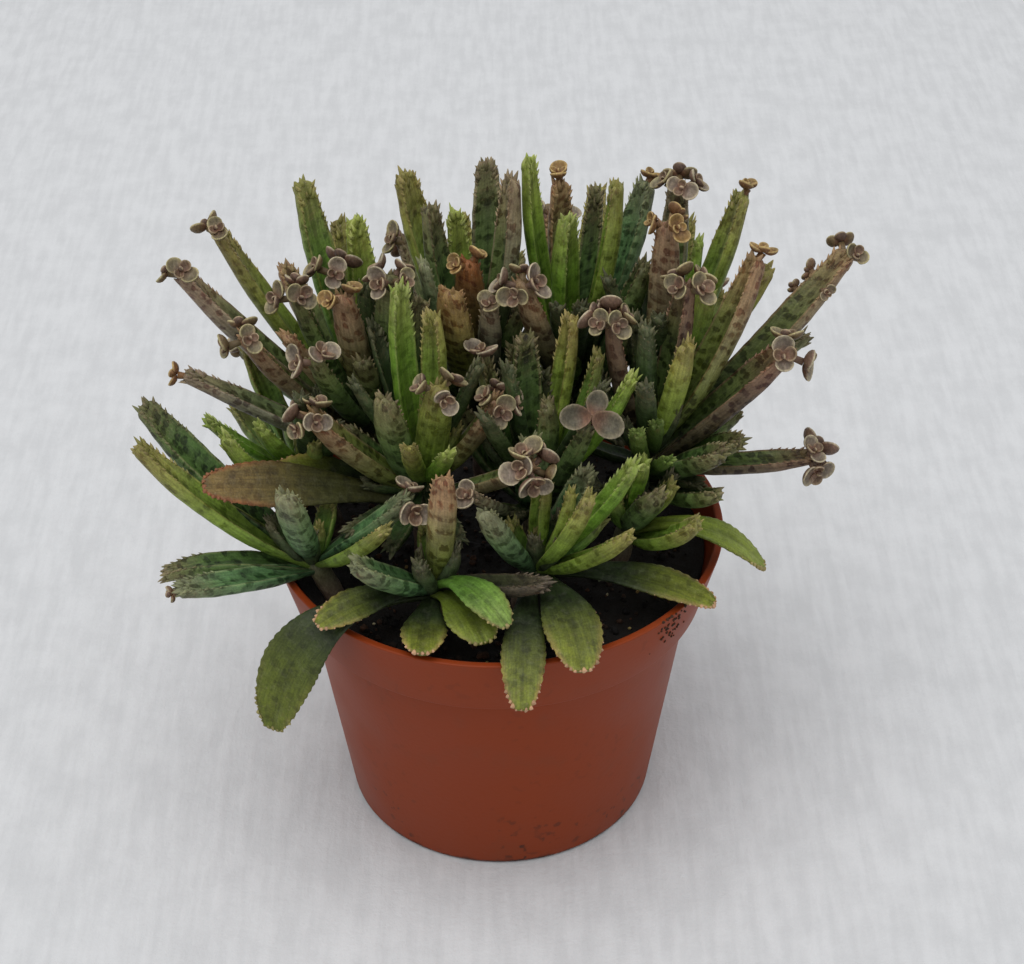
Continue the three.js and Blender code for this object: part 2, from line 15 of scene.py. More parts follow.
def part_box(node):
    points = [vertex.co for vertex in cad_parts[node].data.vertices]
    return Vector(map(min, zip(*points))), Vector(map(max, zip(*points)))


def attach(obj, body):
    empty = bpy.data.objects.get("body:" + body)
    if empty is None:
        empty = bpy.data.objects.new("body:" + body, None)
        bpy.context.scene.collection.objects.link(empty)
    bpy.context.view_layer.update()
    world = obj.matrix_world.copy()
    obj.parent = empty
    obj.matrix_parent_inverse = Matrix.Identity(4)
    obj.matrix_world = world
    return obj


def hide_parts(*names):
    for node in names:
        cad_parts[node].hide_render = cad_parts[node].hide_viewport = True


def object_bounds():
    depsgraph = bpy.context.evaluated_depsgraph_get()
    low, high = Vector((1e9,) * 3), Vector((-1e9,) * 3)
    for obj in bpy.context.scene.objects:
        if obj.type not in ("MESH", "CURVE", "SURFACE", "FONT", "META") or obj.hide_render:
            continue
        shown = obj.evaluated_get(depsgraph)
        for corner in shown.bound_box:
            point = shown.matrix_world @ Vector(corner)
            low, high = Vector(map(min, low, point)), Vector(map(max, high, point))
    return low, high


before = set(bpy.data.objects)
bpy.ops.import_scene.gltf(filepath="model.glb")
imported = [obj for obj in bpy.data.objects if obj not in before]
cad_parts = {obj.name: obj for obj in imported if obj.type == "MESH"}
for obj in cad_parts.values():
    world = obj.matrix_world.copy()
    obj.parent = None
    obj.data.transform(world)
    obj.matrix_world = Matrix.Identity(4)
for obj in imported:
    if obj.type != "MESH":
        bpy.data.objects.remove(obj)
cad_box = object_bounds()

MM = 0.001
UP = np.array([0.0, 0.0, 1.0])
OFF_UP = 0.01

BOX_LOW, BOX_HIGH = (np.array(list(corner)) / MM for corner in cad_box)

# Driving sizes of the pot and the soil
pot_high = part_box("pot")[1]
POT_HEIGHT = pot_high.z / MM
RIM_RADIUS = pot_high.x / MM
BAND_HEIGHT = 16.0
BAND_FOOT = POT_HEIGHT - BAND_HEIGHT
BAND_FOOT_RADIUS = 48.2
WALL_TOP_RADIUS = 45.5
FOOT_RADIUS = 36.8
WALL = 1.8
FLOOR = 3.3
FOOT_RING_WIDTH = 6.0
FOOT_RECESS = 1.5
CENTRE_PAD_RADIUS = 12.0
DRAIN_HOLES = 6
DRAIN_HOLE_RADIUS = 3.0
DRAIN_CIRCLE_RADIUS = 21.0
STEP_HALF = 2.0
SOIL_TOP = 68.0
SOIL_BUMP = 0.7
GAP = 0.3

# Driving sizes of the plants
STEM_RADIUS = 2.7
STEM_DEPTH = 10.0
STEM_TOP_RADIUS = 1.4
STEM_OVER_TOP = 2.0
LOWEST_LEAF = 0.6
TUBE_SAG = 0.03
BLADE_THICKNESS = 2.4
PLANTLET_REACH = 2.4
CLUSTER_TILT = math.radians(54)
PAIR_TILT = math.radians(40)
CLUSTER_PHASE = 0.25
SEAT_SHARE = 0.35
SEAT_DEPTH = 2.4
SEAT_DROP = 0.25
TUBE_ROOT = 0.5
TUBE_FULL_FROM = 0.4
TUBE_TAPER = 0.32
TUBE_TAPER_FROM = 0.7
PETIOLE = 0.42
PETIOLE_END = 0.2
BLADE_FULL_FROM = 0.74
BLADE_ROUND_FROM = 0.68
BLADE_ROUND_LENGTH = 0.335
BLADE_CUP = 0.12

# How leaves make room for each other
STATIONS = 13
FIRST_STATION = 0.14
STEM_STATIONS = 5
BLADE_LANE = 0.62
BLADE_LANE_RADIUS = 0.22
BLADE_HALF_THICK = 1.0
CLUSTER_RADIUS = 5.8
SINGLE_RADIUS = 3.8
KIN_FROM = 0.45
PAIR_REACH = 26.0
CLEARANCE = 0.6
ROUNDS = 260
STEP = 0.14
GIVE = np.array([0.45, 1.0, 0.45])
RIM_HALF = 1.2


def srgb(code):
    """The linear colour of a #rrggbb code."""
    shares = np.array([int(code[k:k + 2], 16) for k in (1, 3, 5)]) / 255
    return np.where(shares <= 0.04045, shares / 12.92, ((shares + 0.055) / 1.055) ** 2.4)


@dataclass
class Tone:
    """How one kind of leaf is coloured."""
    low: str
    high: str
    tip: str
    inside: str
    spots: float
    teeth: str


TONES = {
    "bright": Tone("#5c7825", "#65832c", "#848745", "#5b7328", 0.7, "#a5a76c"),
    "light": Tone("#697e30", "#767c38", "#78693c", "#63782d", 0.85, "#95835a"),
    "green": Tone("#4e6d28", "#637536", "#6e633a", "#4c6727", 0.85, "#8f8052"),
    "olive": Tone("#1b240f", "#5e621c", "#947f49", "#3a4817", 0.8, "#b28a6e"),
    "pale": Tone("#535e1d", "#646c24", "#716e30", "#535e1d", 0.25, "#918256"),
    "red": Tone("#38371b", "#604c2a", "#864a2a", "#5c4c28", 0.8, "#80543a"),
    "teal": Tone("#3e5a39", "#61734e", "#6c6450", "#425f39", 1.4, "#7f7d5e"),
    "fresh": Tone("#33401a", "#465a26", "#586630", "#38481e", 0.5, "#7f8a4e"),
    "dusk": Tone("#2c2a1e", "#403a2e", "#463c32", "#34381f", 0.7, "#685a4b"),
    "moss": Tone("#242d12", "#585e1d", "#6b6b2e", "#3e4c17", 0.7, "#8a8052"),
    "rust": Tone("#58672c", "#736738", "#755736", "#5c6c2a", 1.4, "#a07a58"),
    # The inner tone is dark as painted shade deep in the clump
    "inner": Tone("#243017", "#374825", "#484633", "#283a1a", 0.6, "#655e48"),
    "plum": Tone("#453d2a", "#614c3e", "#70503f", "#4a5a2a", 1.4, "#92705a"),
    "young": Tone("#2c3620", "#3e4a2e", "#4a4433", "#324622", 0.7, "#655c4a"),
    "dark": Tone("#3b4f2a", "#556738", "#60533b", "#3c5226", 1.4, "#816f58"),
    "pink": Tone("#60682f", "#816e54", "#856147", "#626f2f", 1.4, "#a08261"),
    "brown": Tone("#585437", "#786750", "#85634c", "#52602f", 1.4, "#987858"),
    "grey": Tone("#4e563b", "#736e5b", "#76634e", "#4c5e2f", 1.4, "#917b66"),
}


@dataclass
class Leaf:
    """A leaf, given by the place of its tip, its width and how many plantlets it carries."""
    form: str
    tip: np.ndarray
    width: float
    plantlets: int
    tone: str
    kind: str = "grey"
    beside: tuple = ()
    arch: float = 0.0
    turn: float = 0.0
    roll: float = 0.0
    base: np.ndarray = None
    bend: np.ndarray = None
    side: np.ndarray = None


@dataclass
class Plant:
    """A stem, from the soil to its top, with its leaves, lowest first."""
    name: str
    slot: str
    foot: tuple
    top: tuple
    leaves: list = field(default_factory=list)


def tube(x, y, z, width, tone, plantlets=0, kind="grey", beside=()):
    """A grooved finger leaf: the number and kind of its plantlets, then (share, side) of small ones."""
    return Leaf("tube", np.array([x, y, z], float), width, plantlets, tone, kind, beside)


def blade(x, y, z, width, arch, tone, turn=0.0, roll=0.0):
    """A flat leaf: the height of its arch, the turn of its end away from lying crosswise, its roll."""
    return Leaf("blade", np.array([x, y, z], float), width, 0, tone, "grey", (), arch, turn, roll)


PLANTS = [
    Plant("plant_front_left", "leaf_green", (-37, -19), (-42, -18, 79), [
        tube(-74, -25, 78, 7, "dark"), tube(-71, -33, 82, 6.5, "teal", 1, "small"),
        tube(-78.5, -14, 110, 7.5, "light"), tube(-23, -33, 100, 5.5, "light"),
        tube(-19, -29, 102, 7, "teal", 2), tube(-45, -36, 110, 7, "teal"),
        tube(-77.5, -4, 113.5, 8, "dark"),
    ]),
    Plant("plant_front_middle", "leaf_green", (-15, -27), (-14, -28, 79), [
        blade(-50.2, -46, 53, 14, 14, "moss", 40), blade(-15, -50, 75, 10.5, 2, "olive"),
        blade(-4, -49, 77, 12, 2, "pale"), blade(-39, -42, 78, 9, 3, "olive", 0, -15),
        tube(-31, -42, 95, 8, "teal"), blade(2, -47, 82, 9.5, 5, "green"),
        tube(12, -42, 83, 6.5, "dusk"), tube(-11.5, -34, 113, 6.5, "pink"),
    ]),
    Plant("plant_front_right", "leaf_green", (5, -22), (9, -22, 80), [
        blade(6.5, -57, 71, 10, 7, "olive"), blade(14, -56, 75.5, 13, 4, "olive"),
        blade(47, -32, 73, 11, 4, "olive"),
        tube(-3, -38, 106, 6.4, "teal"), tube(28, -37, 99, 6.2, "light"),
        tube(23, -18, 90, 6, "green"), tube(20, -28, 105, 6.5, "light"),
        tube(19, -15, 102, 6.5, "teal"), tube(17, -24, 99, 5, "light"),
        tube(29, -24, 108, 6.2, "bright"), tube(13, -20, 99, 6, "light"),
    ]),
    Plant("plant_right_front", "leaf_green", (27, -10), (30, -10, 82), [
        tube(43, -25, 95, 7, "light"), blade(59, -14, 78, 9.5, 11, "pale"),
        tube(37, -20, 97, 7.5, "dark"),
        tube(37, -13, 95, 6, "light"), tube(35, -10, 101, 6, "bright"),
    ]),
    Plant("plant_left", "leaf_green", (-38, 6), (-43, 6, 84), [
        tube(-62, 25, 92, 7, "green"), tube(-48, 4, 99, 5.5, "bright"),
        tube(-55, 20, 112, 6, "green"), tube(-60, -9, 107.5, 6.5, "bright"),
        tube(-64, -4, 108, 5, "bright"), tube(-54, -5, 105, 6.5, "bright"),
    ]),
    Plant("plant_centre_left", "leaf_brown", (-17, -2), (-17, -1, 90), [
        blade(-65, -18, 100, 12, 2, "red", 0, -30), blade(-52, -8, 98, 12, 1, "olive", 0, -30),
        tube(8, -24, 107, 6, "brown", 5), tube(-34, 2, 100, 7, "dark"),
        tube(-41, -12, 114, 8.5, "pink", 4), tube(-23, -14, 120, 8, "dark"),
        tube(-72.5, -2, 110, 6.5, "grey", 1, "gold"), tube(-13, -11, 120, 8, "light", 3),
        tube(0, -7, 115, 7.5, "pink", 4), tube(-19, -26, 114, 4.5, "light"),
        tube(-10, -26, 113, 4.5, "bright"), tube(-17, 12, 130, 6.5, "dark"),
        tube(-20, 4, 137, 6.5, "bright"), tube(-14, 2, 132, 6.5, "light"),
    ]),
    Plant("plant_centre", "leaf_green", (8, -4), (9, -3, 86), [
        tube(21, -18, 113, 6, "dark", 3, "big"), tube(8, -12, 108, 8, "teal"),
        tube(-6, -28, 104, 4.5, "grey", 1), tube(-8, 7, 104, 6.5, "dark"),
        tube(-2, 2, 119, 6, "dark", 1), tube(11, -4, 112, 7, "dark"),
        tube(0, 9, 108, 6, "green"), tube(6, 12, 118, 7, "dark"), tube(8, 6, 123, 7, "dark"),
        tube(18, 2, 128, 6.5, "light"), tube(23, 2, 123, 5.5, "green"),
        tube(30, -4, 119, 5.5, "bright"), tube(25, 8, 109, 6, "dark"),
    ]),
    Plant("plant_right", "leaf_brown", (34, 4), (35, 4, 92), [
        tube(48, -18, 93, 7, "dark"), tube(50, -14, 99, 8.5, "dark"),
        tube(56, 8, 98, 6.5, "dark"), tube(53, -5, 102, 7.5, "dark"),
        tube(38, -14, 101, 4, "fresh"), tube(65, -2, 120.5, 9.5, "plum", 3),
        tube(32, -14, 108, 4, "fresh"), tube(73, -2, 93.5, 6.2, "plum", 4),
        tube(81.5, 26, 131.5, 8.2, "brown", 3, "olive", ((0.84, 1), (0.76, 1), (0.82, -1))),
        tube(35, -10, 108, 4, "fresh"), tube(42, -3, 126, 6.5, "light"),
        tube(23.5, 2, 127, 7, "plum", 5), tube(43, 6, 135, 8, "plum", 4, "olive"),
        tube(56.5, 13, 139.5, 9, "pink", 1, "gold"),
    ]),
    Plant("plant_back_left", "leaf_brown", (-28, 20), (-28, 20, 92), [
        blade(-42, 52, 84, 12, 6, "olive"), tube(-62, 44, 96, 7, "dark", 2),
        tube(-70.5, 14, 134.5, 8.2, "grey", 2, "olive"), tube(-63, 26, 138.5, 7.5, "light", 2, "olive"),
        tube(-56, 9, 124, 7, "brown", 3, "olive"), tube(-47, 4, 124, 5.5, "brown"),
        tube(-31, 8, 118, 6.5, "dark"), tube(-41, 2, 122, 6, "dark", 2),
        tube(-44, 16, 129, 7, "dark", 3), tube(-50, 42, 120, 7, "brown"),
        tube(-37, 50, 128, 6.5, "light"), tube(-31.5, 8, 132, 7, "pink", 2, "gold"),
        tube(-37, 22, 130, 6.5, "dark", 3), tube(-23, 12, 134, 8, "dark", 4),
        tube(-43, 38, 145, 7.5, "green"), tube(-33, 34, 137, 7, "bright"),
        tube(-20, 30, 124, 7, "dark"),
    ]),
    Plant("plant_back_middle", "leaf_brown", (-3, 24), (-4, 24, 98), [
        tube(-12, 66, 92, 7, "dark", 2), tube(6, 60, 112, 7, "green"),
        tube(-22, 56, 119, 6.5, "grey", 3), tube(-8, 52, 128, 6.5, "light"),
        tube(-12, 18, 106, 6.5, "dark"), tube(13, 20, 106, 7, "green"),
        tube(-2, 10, 129, 5.5, "grey", 1), tube(-9, 6, 136, 8.5, "rust"),
        tube(-6, 13, 135, 7.5, "red", 2, "gold"), tube(-18, 12, 136, 5, "teal"),
        tube(-14, 30, 144, 7, "dark"), tube(-20, 36, 147, 8, "light"),
        tube(-7, 32, 140, 5.5, "bright"), tube(-3, 34, 150, 7.5, "grey"),
        tube(3.8, 28, 150.5, 8.2, "grey"), tube(6, 22, 121, 7, "dark"),
    ]),
    Plant("plant_back_right", "leaf_green", (17, 26), (18, 26, 98), [
        blade(22, 61, 83, 12, 7, "olive"), tube(30, 62, 104, 7, "green"),
        tube(14, 58, 124, 6.5, "brown", 3), tube(25, 54, 134, 6.5, "light"),
        tube(36, 14, 121, 7, "dark"), tube(3, 8, 133, 7, "brown", 4),
        tube(33.5, 26, 130, 8.5, "dark"), tube(16.5, 27, 141.5, 8.5, "bright"),
        tube(9, 32, 153, 6, "bright"), tube(15.8, 38, 143.5, 6.5, "brown", 1, "gold"),
        tube(24, 40, 140, 5, "dark"), tube(27.5, 25, 150.5, 7, "light"),
        tube(35, 39, 143, 8.2, "teal", 1, "gold"),
    ]),
    Plant("plant_right_back", "leaf_brown", (33, 20), (38, 22, 96), [
        blade(60, 40, 86, 11, 5, "olive"), tube(56, 52, 104, 7, "green", 2),
        tube(74, 30, 106, 6.5, "dark"), tube(49, 12, 129, 8, "bright"),
        tube(46, 48, 128, 6.5, "light"), tube(39, 18, 144, 7.5, "brown", 3, "gold"),
        tube(42, 32, 146, 7, "grey", 4), tube(46, 20, 137, 4.5, "bright"),
        tube(56.5, 29, 145, 7.5, "light", 1, "gold"), tube(62, 20, 131, 8, "light"),
    ]),
]

# The course of a leaf: a curve from the stem, with one bend point, to the tip


def unit(vectors):
    """Vectors along the last axis, each at length 1."""
    return vectors / np.linalg.norm(vectors, axis=-1, keepdims=True)


def smoothstep(x, low, high):
    """0 below low, 1 above high, and a smooth rise between them."""
    share = np.clip((np.asarray(x, float) - low) / (high - low), 0, 1)
    return share * share * (3 - 2 * share)


def mix(a, b, share):
    """From a at share 0 to b at share 1."""
    return a + (b - a) * share


def turned(vectors, axis, angle):
    """Vectors turned about a unit axis."""
    across = np.cross(axis, vectors)
    along = np.sum(vectors * axis, axis=-1, keepdims=True) * axis
    return along + (vectors - along) * np.cos(angle) + across * np.sin(angle)


def stem_point(plant, share):
    """The middle of the stem at a share of its height over the soil."""
    foot = np.array([*plant.foot, SOIL_TOP], float)
    return mix(foot, np.array(plant.top, float), share)


def place_leaf(plant, leaf, order):
    """Sets where a leaf leaves the stem and how it bends on its way to its tip."""
    share = LOWEST_LEAF + (1 - LOWEST_LEAF) * (order + 1) / len(plant.leaves)
    leaf.base = stem_point(plant, share)
    chord = leaf.tip - leaf.base
    side = np.array([-chord[1], chord[0], 0.0])
    if np.linalg.norm(side) < 1:
        side = np.array([-1.0, 0.0, 0.0])
    level = unit(chord)
    leaf.side = turned(unit(side), UP, math.radians(leaf.turn))
    leaf.side = turned(leaf.side, level, math.radians(leaf.roll))
    droop = unit(level * level[2] - UP)
    sag = TUBE_SAG * np.linalg.norm(chord) if leaf.form == "tube" else -leaf.arch
    leaf.bend = (leaf.base + leaf.tip) / 2 + droop * 2 * sag


def fullness(leaf, t):
    """The share of its full width that a leaf has at a share of its length."""
    if leaf.form == "tube":
        swell = TUBE_ROOT + (1 - TUBE_ROOT) * smoothstep(t, 0, TUBE_FULL_FROM)
        return swell - TUBE_TAPER * smoothstep(t, TUBE_TAPER_FROM, 1)
    spread = PETIOLE + (1 - PETIOLE) * smoothstep(t, PETIOLE_END, BLADE_FULL_FROM)
    past = np.maximum(0, (t - BLADE_ROUND_FROM) / BLADE_ROUND_LENGTH)
    return spread * np.sqrt(1 - past * past)


def course(leaf, t):
    """Middle points, ways forward, channel sides and ways across at shares of the length."""
    t = np.atleast_1d(np.asarray(t, float))[:, None]
    s = 1 - t
    middle = leaf.base * s * s + leaf.bend * 2 * s * t + leaf.tip * t * t
    forward = unit((leaf.bend - leaf.base) * s + (leaf.tip - leaf.bend) * t)
    across = unit(leaf.side - forward * np.sum(leaf.side * forward, axis=1, keepdims=True))
    channel = np.cross(forward, across)
    return middle, forward, channel, across


# Leaves share the room over the pot, so each bends clear of its neighbours, of stems, rim and soil


def touch_stations(plants):
    """Balls along every leaf and stem: owner, leaf number or -1, share, offset, radius, place."""
    leaves = [leaf for plant in plants for leaf in plant.leaves]
    rows = []
    number = 0
    for owner, plant in enumerate(plants):
        for leaf in plant.leaves:
            lanes = [0.0] if leaf.form == "tube" else [-BLADE_LANE, 0.0, BLADE_LANE]
            for k in range(1, STATIONS + 1):
                t = FIRST_STATION + (1 - FIRST_STATION) * k / STATIONS
                half = leaf.width / 2 * float(fullness(leaf, t))
                thin = half * BLADE_LANE_RADIUS + BLADE_HALF_THICK
                radius = half if leaf.form == "tube" else thin
                for lane in lanes:
                    rows.append((owner, number, t, *(leaf.side * lane * half), radius, 0, 0, 0))
            if leaf.plantlets > 0:
                radius = CLUSTER_RADIUS if leaf.plantlets > 1 else SINGLE_RADIUS
                rows.append((owner, number, 1.0, 0, 0, 0, radius, 0, 0, 0))
            number += 1
        for k in range(STEM_STATIONS + 1):
            rows.append((owner, -1, 0.0, 0, 0, 0, STEM_RADIUS, *stem_point(plant, k / STEM_STATIONS)))
    return leaves, np.array(rows, float)


def settle(plants):
    """Moves the bends and tips of leaves until they are clear of each other."""
    leaves, rows = touch_stations(plants)
    owner = rows[:, 0].astype(int)
    number = rows[:, 1].astype(int)
    share = rows[:, 2:3]
    offset = rows[:, 3:6]
    radius = rows[:, 6]
    is_stem = number < 0
    base = np.array([leaf.base for leaf in leaves])
    bend = np.array([leaf.bend for leaf in leaves])
    tip = np.array([leaf.tip for leaf in leaves])
    bend_weight = np.where(is_stem, 0, 2 * (1 - share[:, 0]) * share[:, 0])
    tip_weight = np.where(is_stem, 0, share[:, 0] ** 2)

    def points():
        s = 1 - share
        own = base[number] * s * s + bend[number] * 2 * s * share + tip[number] * share * share
        return np.where(is_stem[:, None], rows[:, 7:10], own + offset)

    place = points()
    first, second = np.triu_indices(len(rows), 1)
    near = np.linalg.norm(place[first] - place[second], axis=1) < PAIR_REACH
    first = first[near]
    second = second[near]
    kin = owner[first] == owner[second]
    rooted = kin & (np.minimum(share[first, 0], share[second, 0]) < KIN_FROM)
    fixed = is_stem[first] & is_stem[second]
    keep = (number[first] != number[second]) & ~rooted & ~fixed
    first = first[keep]
    second = second[keep]
    need = radius[first] + radius[second] + np.where(kin[keep], 0, CLEARANCE)
    for _ in range(ROUNDS):
        place = points()
        push = np.zeros_like(place)
        between = place[first] - place[second]
        apart = np.linalg.norm(between, axis=1)
        touch = apart < need
        amount = (STEP * (need - apart) / apart)[touch, None] * between[touch]
        for axis in range(3):
            push[:, axis] += np.bincount(first[touch], amount[:, axis], len(rows))
            push[:, axis] -= np.bincount(second[touch], amount[:, axis], len(rows))
        push += pot_push(place, radius)
        push *= GIVE
        for axis in range(3):
            own = ~is_stem
            bend[:, axis] += np.bincount(number[own], (push[:, axis] * bend_weight)[own], len(leaves))
            tip[:, axis] += np.bincount(number[own], (push[:, axis] * tip_weight)[own], len(leaves))
    for k, leaf in enumerate(leaves):
        leaf.bend = bend[k]
        leaf.tip = tip[k]


def pot_push(place, radius):
    """The rim and the soil hold a leaf off as well."""
    distance = np.hypot(place[:, 0], place[:, 1])
    rim_z = np.clip(place[:, 2], BAND_FOOT, POT_HEIGHT - RIM_HALF)
    out = distance - (RIM_RADIUS - RIM_HALF)
    up = place[:, 2] - rim_z
    off = np.hypot(out, up)
    need = radius + RIM_HALF + CLEARANCE
    level = place[:, :2] / distance[:, None]
    away = np.column_stack([level * out[:, None], up]) / off[:, None]
    push = away * np.where(off < need, 2 * STEP * (need - off), 0)[:, None]
    floor = SOIL_TOP + SOIL_BUMP + radius + CLEARANCE
    low = (distance < RIM_RADIUS - RIM_HALF) & (place[:, 2] < floor)
    push[:, 2] += np.where(low, 2 * STEP * (floor - place[:, 2]), 0)
    return push


# Meshes are gathered from lofts, each a closed skin over rings of points


def add_object(name, data):
    """A new object in the scene."""
    piece = bpy.data.objects.new(name, data)
    bpy.context.scene.collection.objects.link(piece)
    return piece


def round_rings(middle, way, radii, sides):
    """Round rings about middle points on a straight way."""
    sideways = unit(np.cross(way, UP + OFF_UP))
    other = np.cross(way, sideways)
    angle = np.arange(sides) * 2 * math.pi / sides
    spokes = sideways * np.cos(angle)[:, None] + other * np.sin(angle)[:, None]
    return middle[:, None] + spokes[None] * radii[:, None, None]


class Skin:
    """Gathers the points, faces and markings of one piece."""

    def __init__(self):
        self.points = []
        self.faces = []
        self.flesh = []
        self.spots = []
        self.dry = []
        self.grain = []
        self.count = 0

    def loft(self, rings, flesh, spots=0.0, grain=None, start=None, end=None, dry=0.0):
        """Adds a closed skin over rings (rows, sides, 3), with a fan to a centre at each end.

        The skin is held inside the solids' box, and grain is where the material reads its noise.
        """
        rings = np.clip(rings, BOX_LOW, BOX_HIGH)
        rows, sides = rings.shape[:2]
        flat = rings.reshape(-1, 3)
        start = rings[0].mean(axis=0) if start is None else start
        end = rings[-1].mean(axis=0) if end is None else end
        points = np.vstack([flat, start, end])
        flesh = np.broadcast_to(flesh, rings.shape).reshape(-1, 3)
        spots = np.broadcast_to(spots, (rows, sides)).reshape(-1)
        dry = np.broadcast_to(dry, (rows, sides)).reshape(-1)
        grain = flat if grain is None else np.broadcast_to(grain, rings.shape).reshape(-1, 3)
        self.points.append(points)
        self.flesh.append(np.vstack([flesh, flesh[:sides].mean(0), flesh[-sides:].mean(0)]))
        self.spots.append(np.concatenate([spots, [spots[0], spots[-1]]]))
        self.dry.append(np.concatenate([dry, [dry[0], dry[-1]]]))
        self.grain.append(np.vstack([grain, grain[:sides].mean(0), grain[-sides:].mean(0)]))
        quads, fans = loft_faces(rows, sides)
        if signed_volume(points, quads, fans) < 0:
            quads = quads[:, ::-1]
            fans = fans[:, ::-1]
        self.faces.extend((quads + self.count).tolist())
        self.faces.extend((fans + self.count).tolist())
        self.count += len(points)


def loft_faces(rows, sides):
    """The quads between rings, and the fans to the two centre points that follow them."""
    k = np.arange(sides)
    following = (k + 1) % sides
    row = np.arange(rows - 1)[:, None] * sides
    a = (row + k).ravel()
    b = (row + following).ravel()
    quads = np.column_stack([a, b, b + sides, a + sides])
    start = rows * sides
    last = (rows - 1) * sides
    near = np.column_stack([np.full(sides, start), following, k])
    far = np.column_stack([np.full(sides, start + 1), last + k, last + following])
    return quads, np.vstack([near, far])


def signed_volume(points, quads, fans):
    """Six times the volume inside a closed skin, negative where it is inside out."""
    triangles = np.vstack([quads[:, [0, 1, 2]], quads[:, [0, 2, 3]], fans])
    a, b, c = (points[triangles[:, k]] for k in range(3))
    return float(np.sum(a * np.cross(b, c)))


def make_piece(name, skin, material, node):
    """One object from a skin, riding on the part's body in place of a node of the frame."""
    mesh = bpy.data.meshes.new(name)
    points = np.vstack(skin.points) * MM
    mesh.from_pydata(points.tolist(), [], skin.faces)
    flesh = np.vstack(skin.flesh)
    colour = mesh.attributes.new("flesh", "FLOAT_COLOR", "POINT")
    colour.data.foreach_set("color", np.column_stack([flesh, np.ones(len(flesh))]).ravel())
    for label, values in (("spots", skin.spots), ("dry", skin.dry)):
        attribute = mesh.attributes.new(label, "FLOAT", "POINT")
        attribute.data.foreach_set("value", np.concatenate(values))
    grain = mesh.attributes.new("grain", "FLOAT_VECTOR", "POINT")
    grain.data.foreach_set("vector", np.vstack(skin.grain).ravel())
    mesh.shade_smooth()
    mesh.materials.append(material)
    piece = add_object(name, mesh)
    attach(piece, "root")
    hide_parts(node)


# Each leaf has a number, which keeps its blotches apart from those of the others

LABELS = 40
YOUNG_LABEL = 30
LOW_LABEL = 33
INNER_LABEL = 36
LEAF_APART = 61.0
PLANTLET_APART = 31.0

# Finger leaves: grooved above, keeled below, toothed at the end

TUBE_RINGS = 40
FLESH_END = 0.985
TUBE_RIB = np.array([
    (0.0, 0.09), (0.28, 0.12), (0.52, 0.22), (0.70, 0.36), (0.84, 0.43), (0.93, 0.38),
    (0.98, 0.22), (0.98, 0.0), (0.88, -0.28), (0.68, -0.53), (0.38, -0.70), (0.0, -0.76),
])
CLOSED_HEIGHTS = np.array([0.36, 0.38, 0.42, 0.44, 0.42, 0.34, 0.2, 0.0, -0.28, -0.53, -0.70, -0.76])
HALF_SIDES = len(TUBE_RIB) - 1
LIP_RIGHT = 4
LIP_LEFT = 2 * HALF_SIDES - LIP_RIGHT
CHANNEL_SIDES = np.array([0, 1, 2, 3, 2 * HALF_SIDES - 3, 2 * HALF_SIDES - 2, 2 * HALF_SIDES - 1])
TOOTH_STEP = 1.7
TOOTHED_SHARE = 0.32
TOOTHED_LENGTH = 14.0
TOOTH_LENGTH = 1.2
TOOTH_WIDTH = 0.85
TOOTH_SIDES = 6
TOOTH_REACH = np.array([-0.5, 0.1, 0.55, 0.88])
TOOTH_THICK = np.array([1.0, 0.85, 0.5, 0.2])
CROWN_LENGTH = 2.5
CROWN_WIDTH = 1.25
CROWN_TEETH = 12
CROWN_ROWS = 7
BRIGHTEN = np.array([1.23, 1.3, 1.23])
LEAF_SHIFT = (-0.14, 0.12)
HUE_SHIFT = 0.03
MOST_TWIST = 0.25
DRY_FROM = 0.62
DRY_TO = 0.97
ROOT_SHADE = 0.55
GROOVE_SHADE = 0.68


def mirrored(half_row, sign=1):
    """A row of values from the groove to the keel, carried on round the other side."""
    return np.concatenate([half_row, sign * half_row[-2:0:-1]])


RIB_X = mirrored(TUBE_RIB[:, 0], -1)
RIB_OPEN = mirrored(TUBE_RIB[:, 1])
RIB_CLOSED = mirrored(CLOSED_HEIGHTS)
RIB_ARC = mirrored(np.concatenate([[0], np.cumsum(np.hypot(*np.diff(TUBE_RIB, axis=0).T))]))


def room(place):
    """How far a place stands inside the sides and the top of the solids' box."""
    sides = [place[0] - BOX_LOW[0], BOX_HIGH[0] - place[0], place[1] - BOX_LOW[1]]
    return float(min(*sides, BOX_HIGH[1] - place[1], BOX_HIGH[2] - place[2]))


def tooth(skin, root, way, length, width, low, high, grain):
    """A small blunt cone that stands with its root sunk in the leaf."""
    way = unit(way)
    middle = root + way * (TOOTH_REACH * length)[:, None]
    rings = round_rings(middle, way, TOOTH_THICK * width / 2, TOOTH_SIDES)
    flesh = mix(low, high, smoothstep(TOOTH_REACH, 0.0, 0.8)[:, None, None])
    skin.loft(rings, flesh, 0.0, grain, end=root + way * length)


def dryness(t):
    """How dry and brown a leaf is at shares of its length."""
    return smoothstep(t, DRY_FROM, DRY_TO)


def rooted(t):
    """Leaves are darker towards the stem that they grow from: partly their own darker base, partly
    painted shade deep in the clump.
    """
    return mix(ROOT_SHADE, 1, smoothstep(t, 0.0, 0.5))


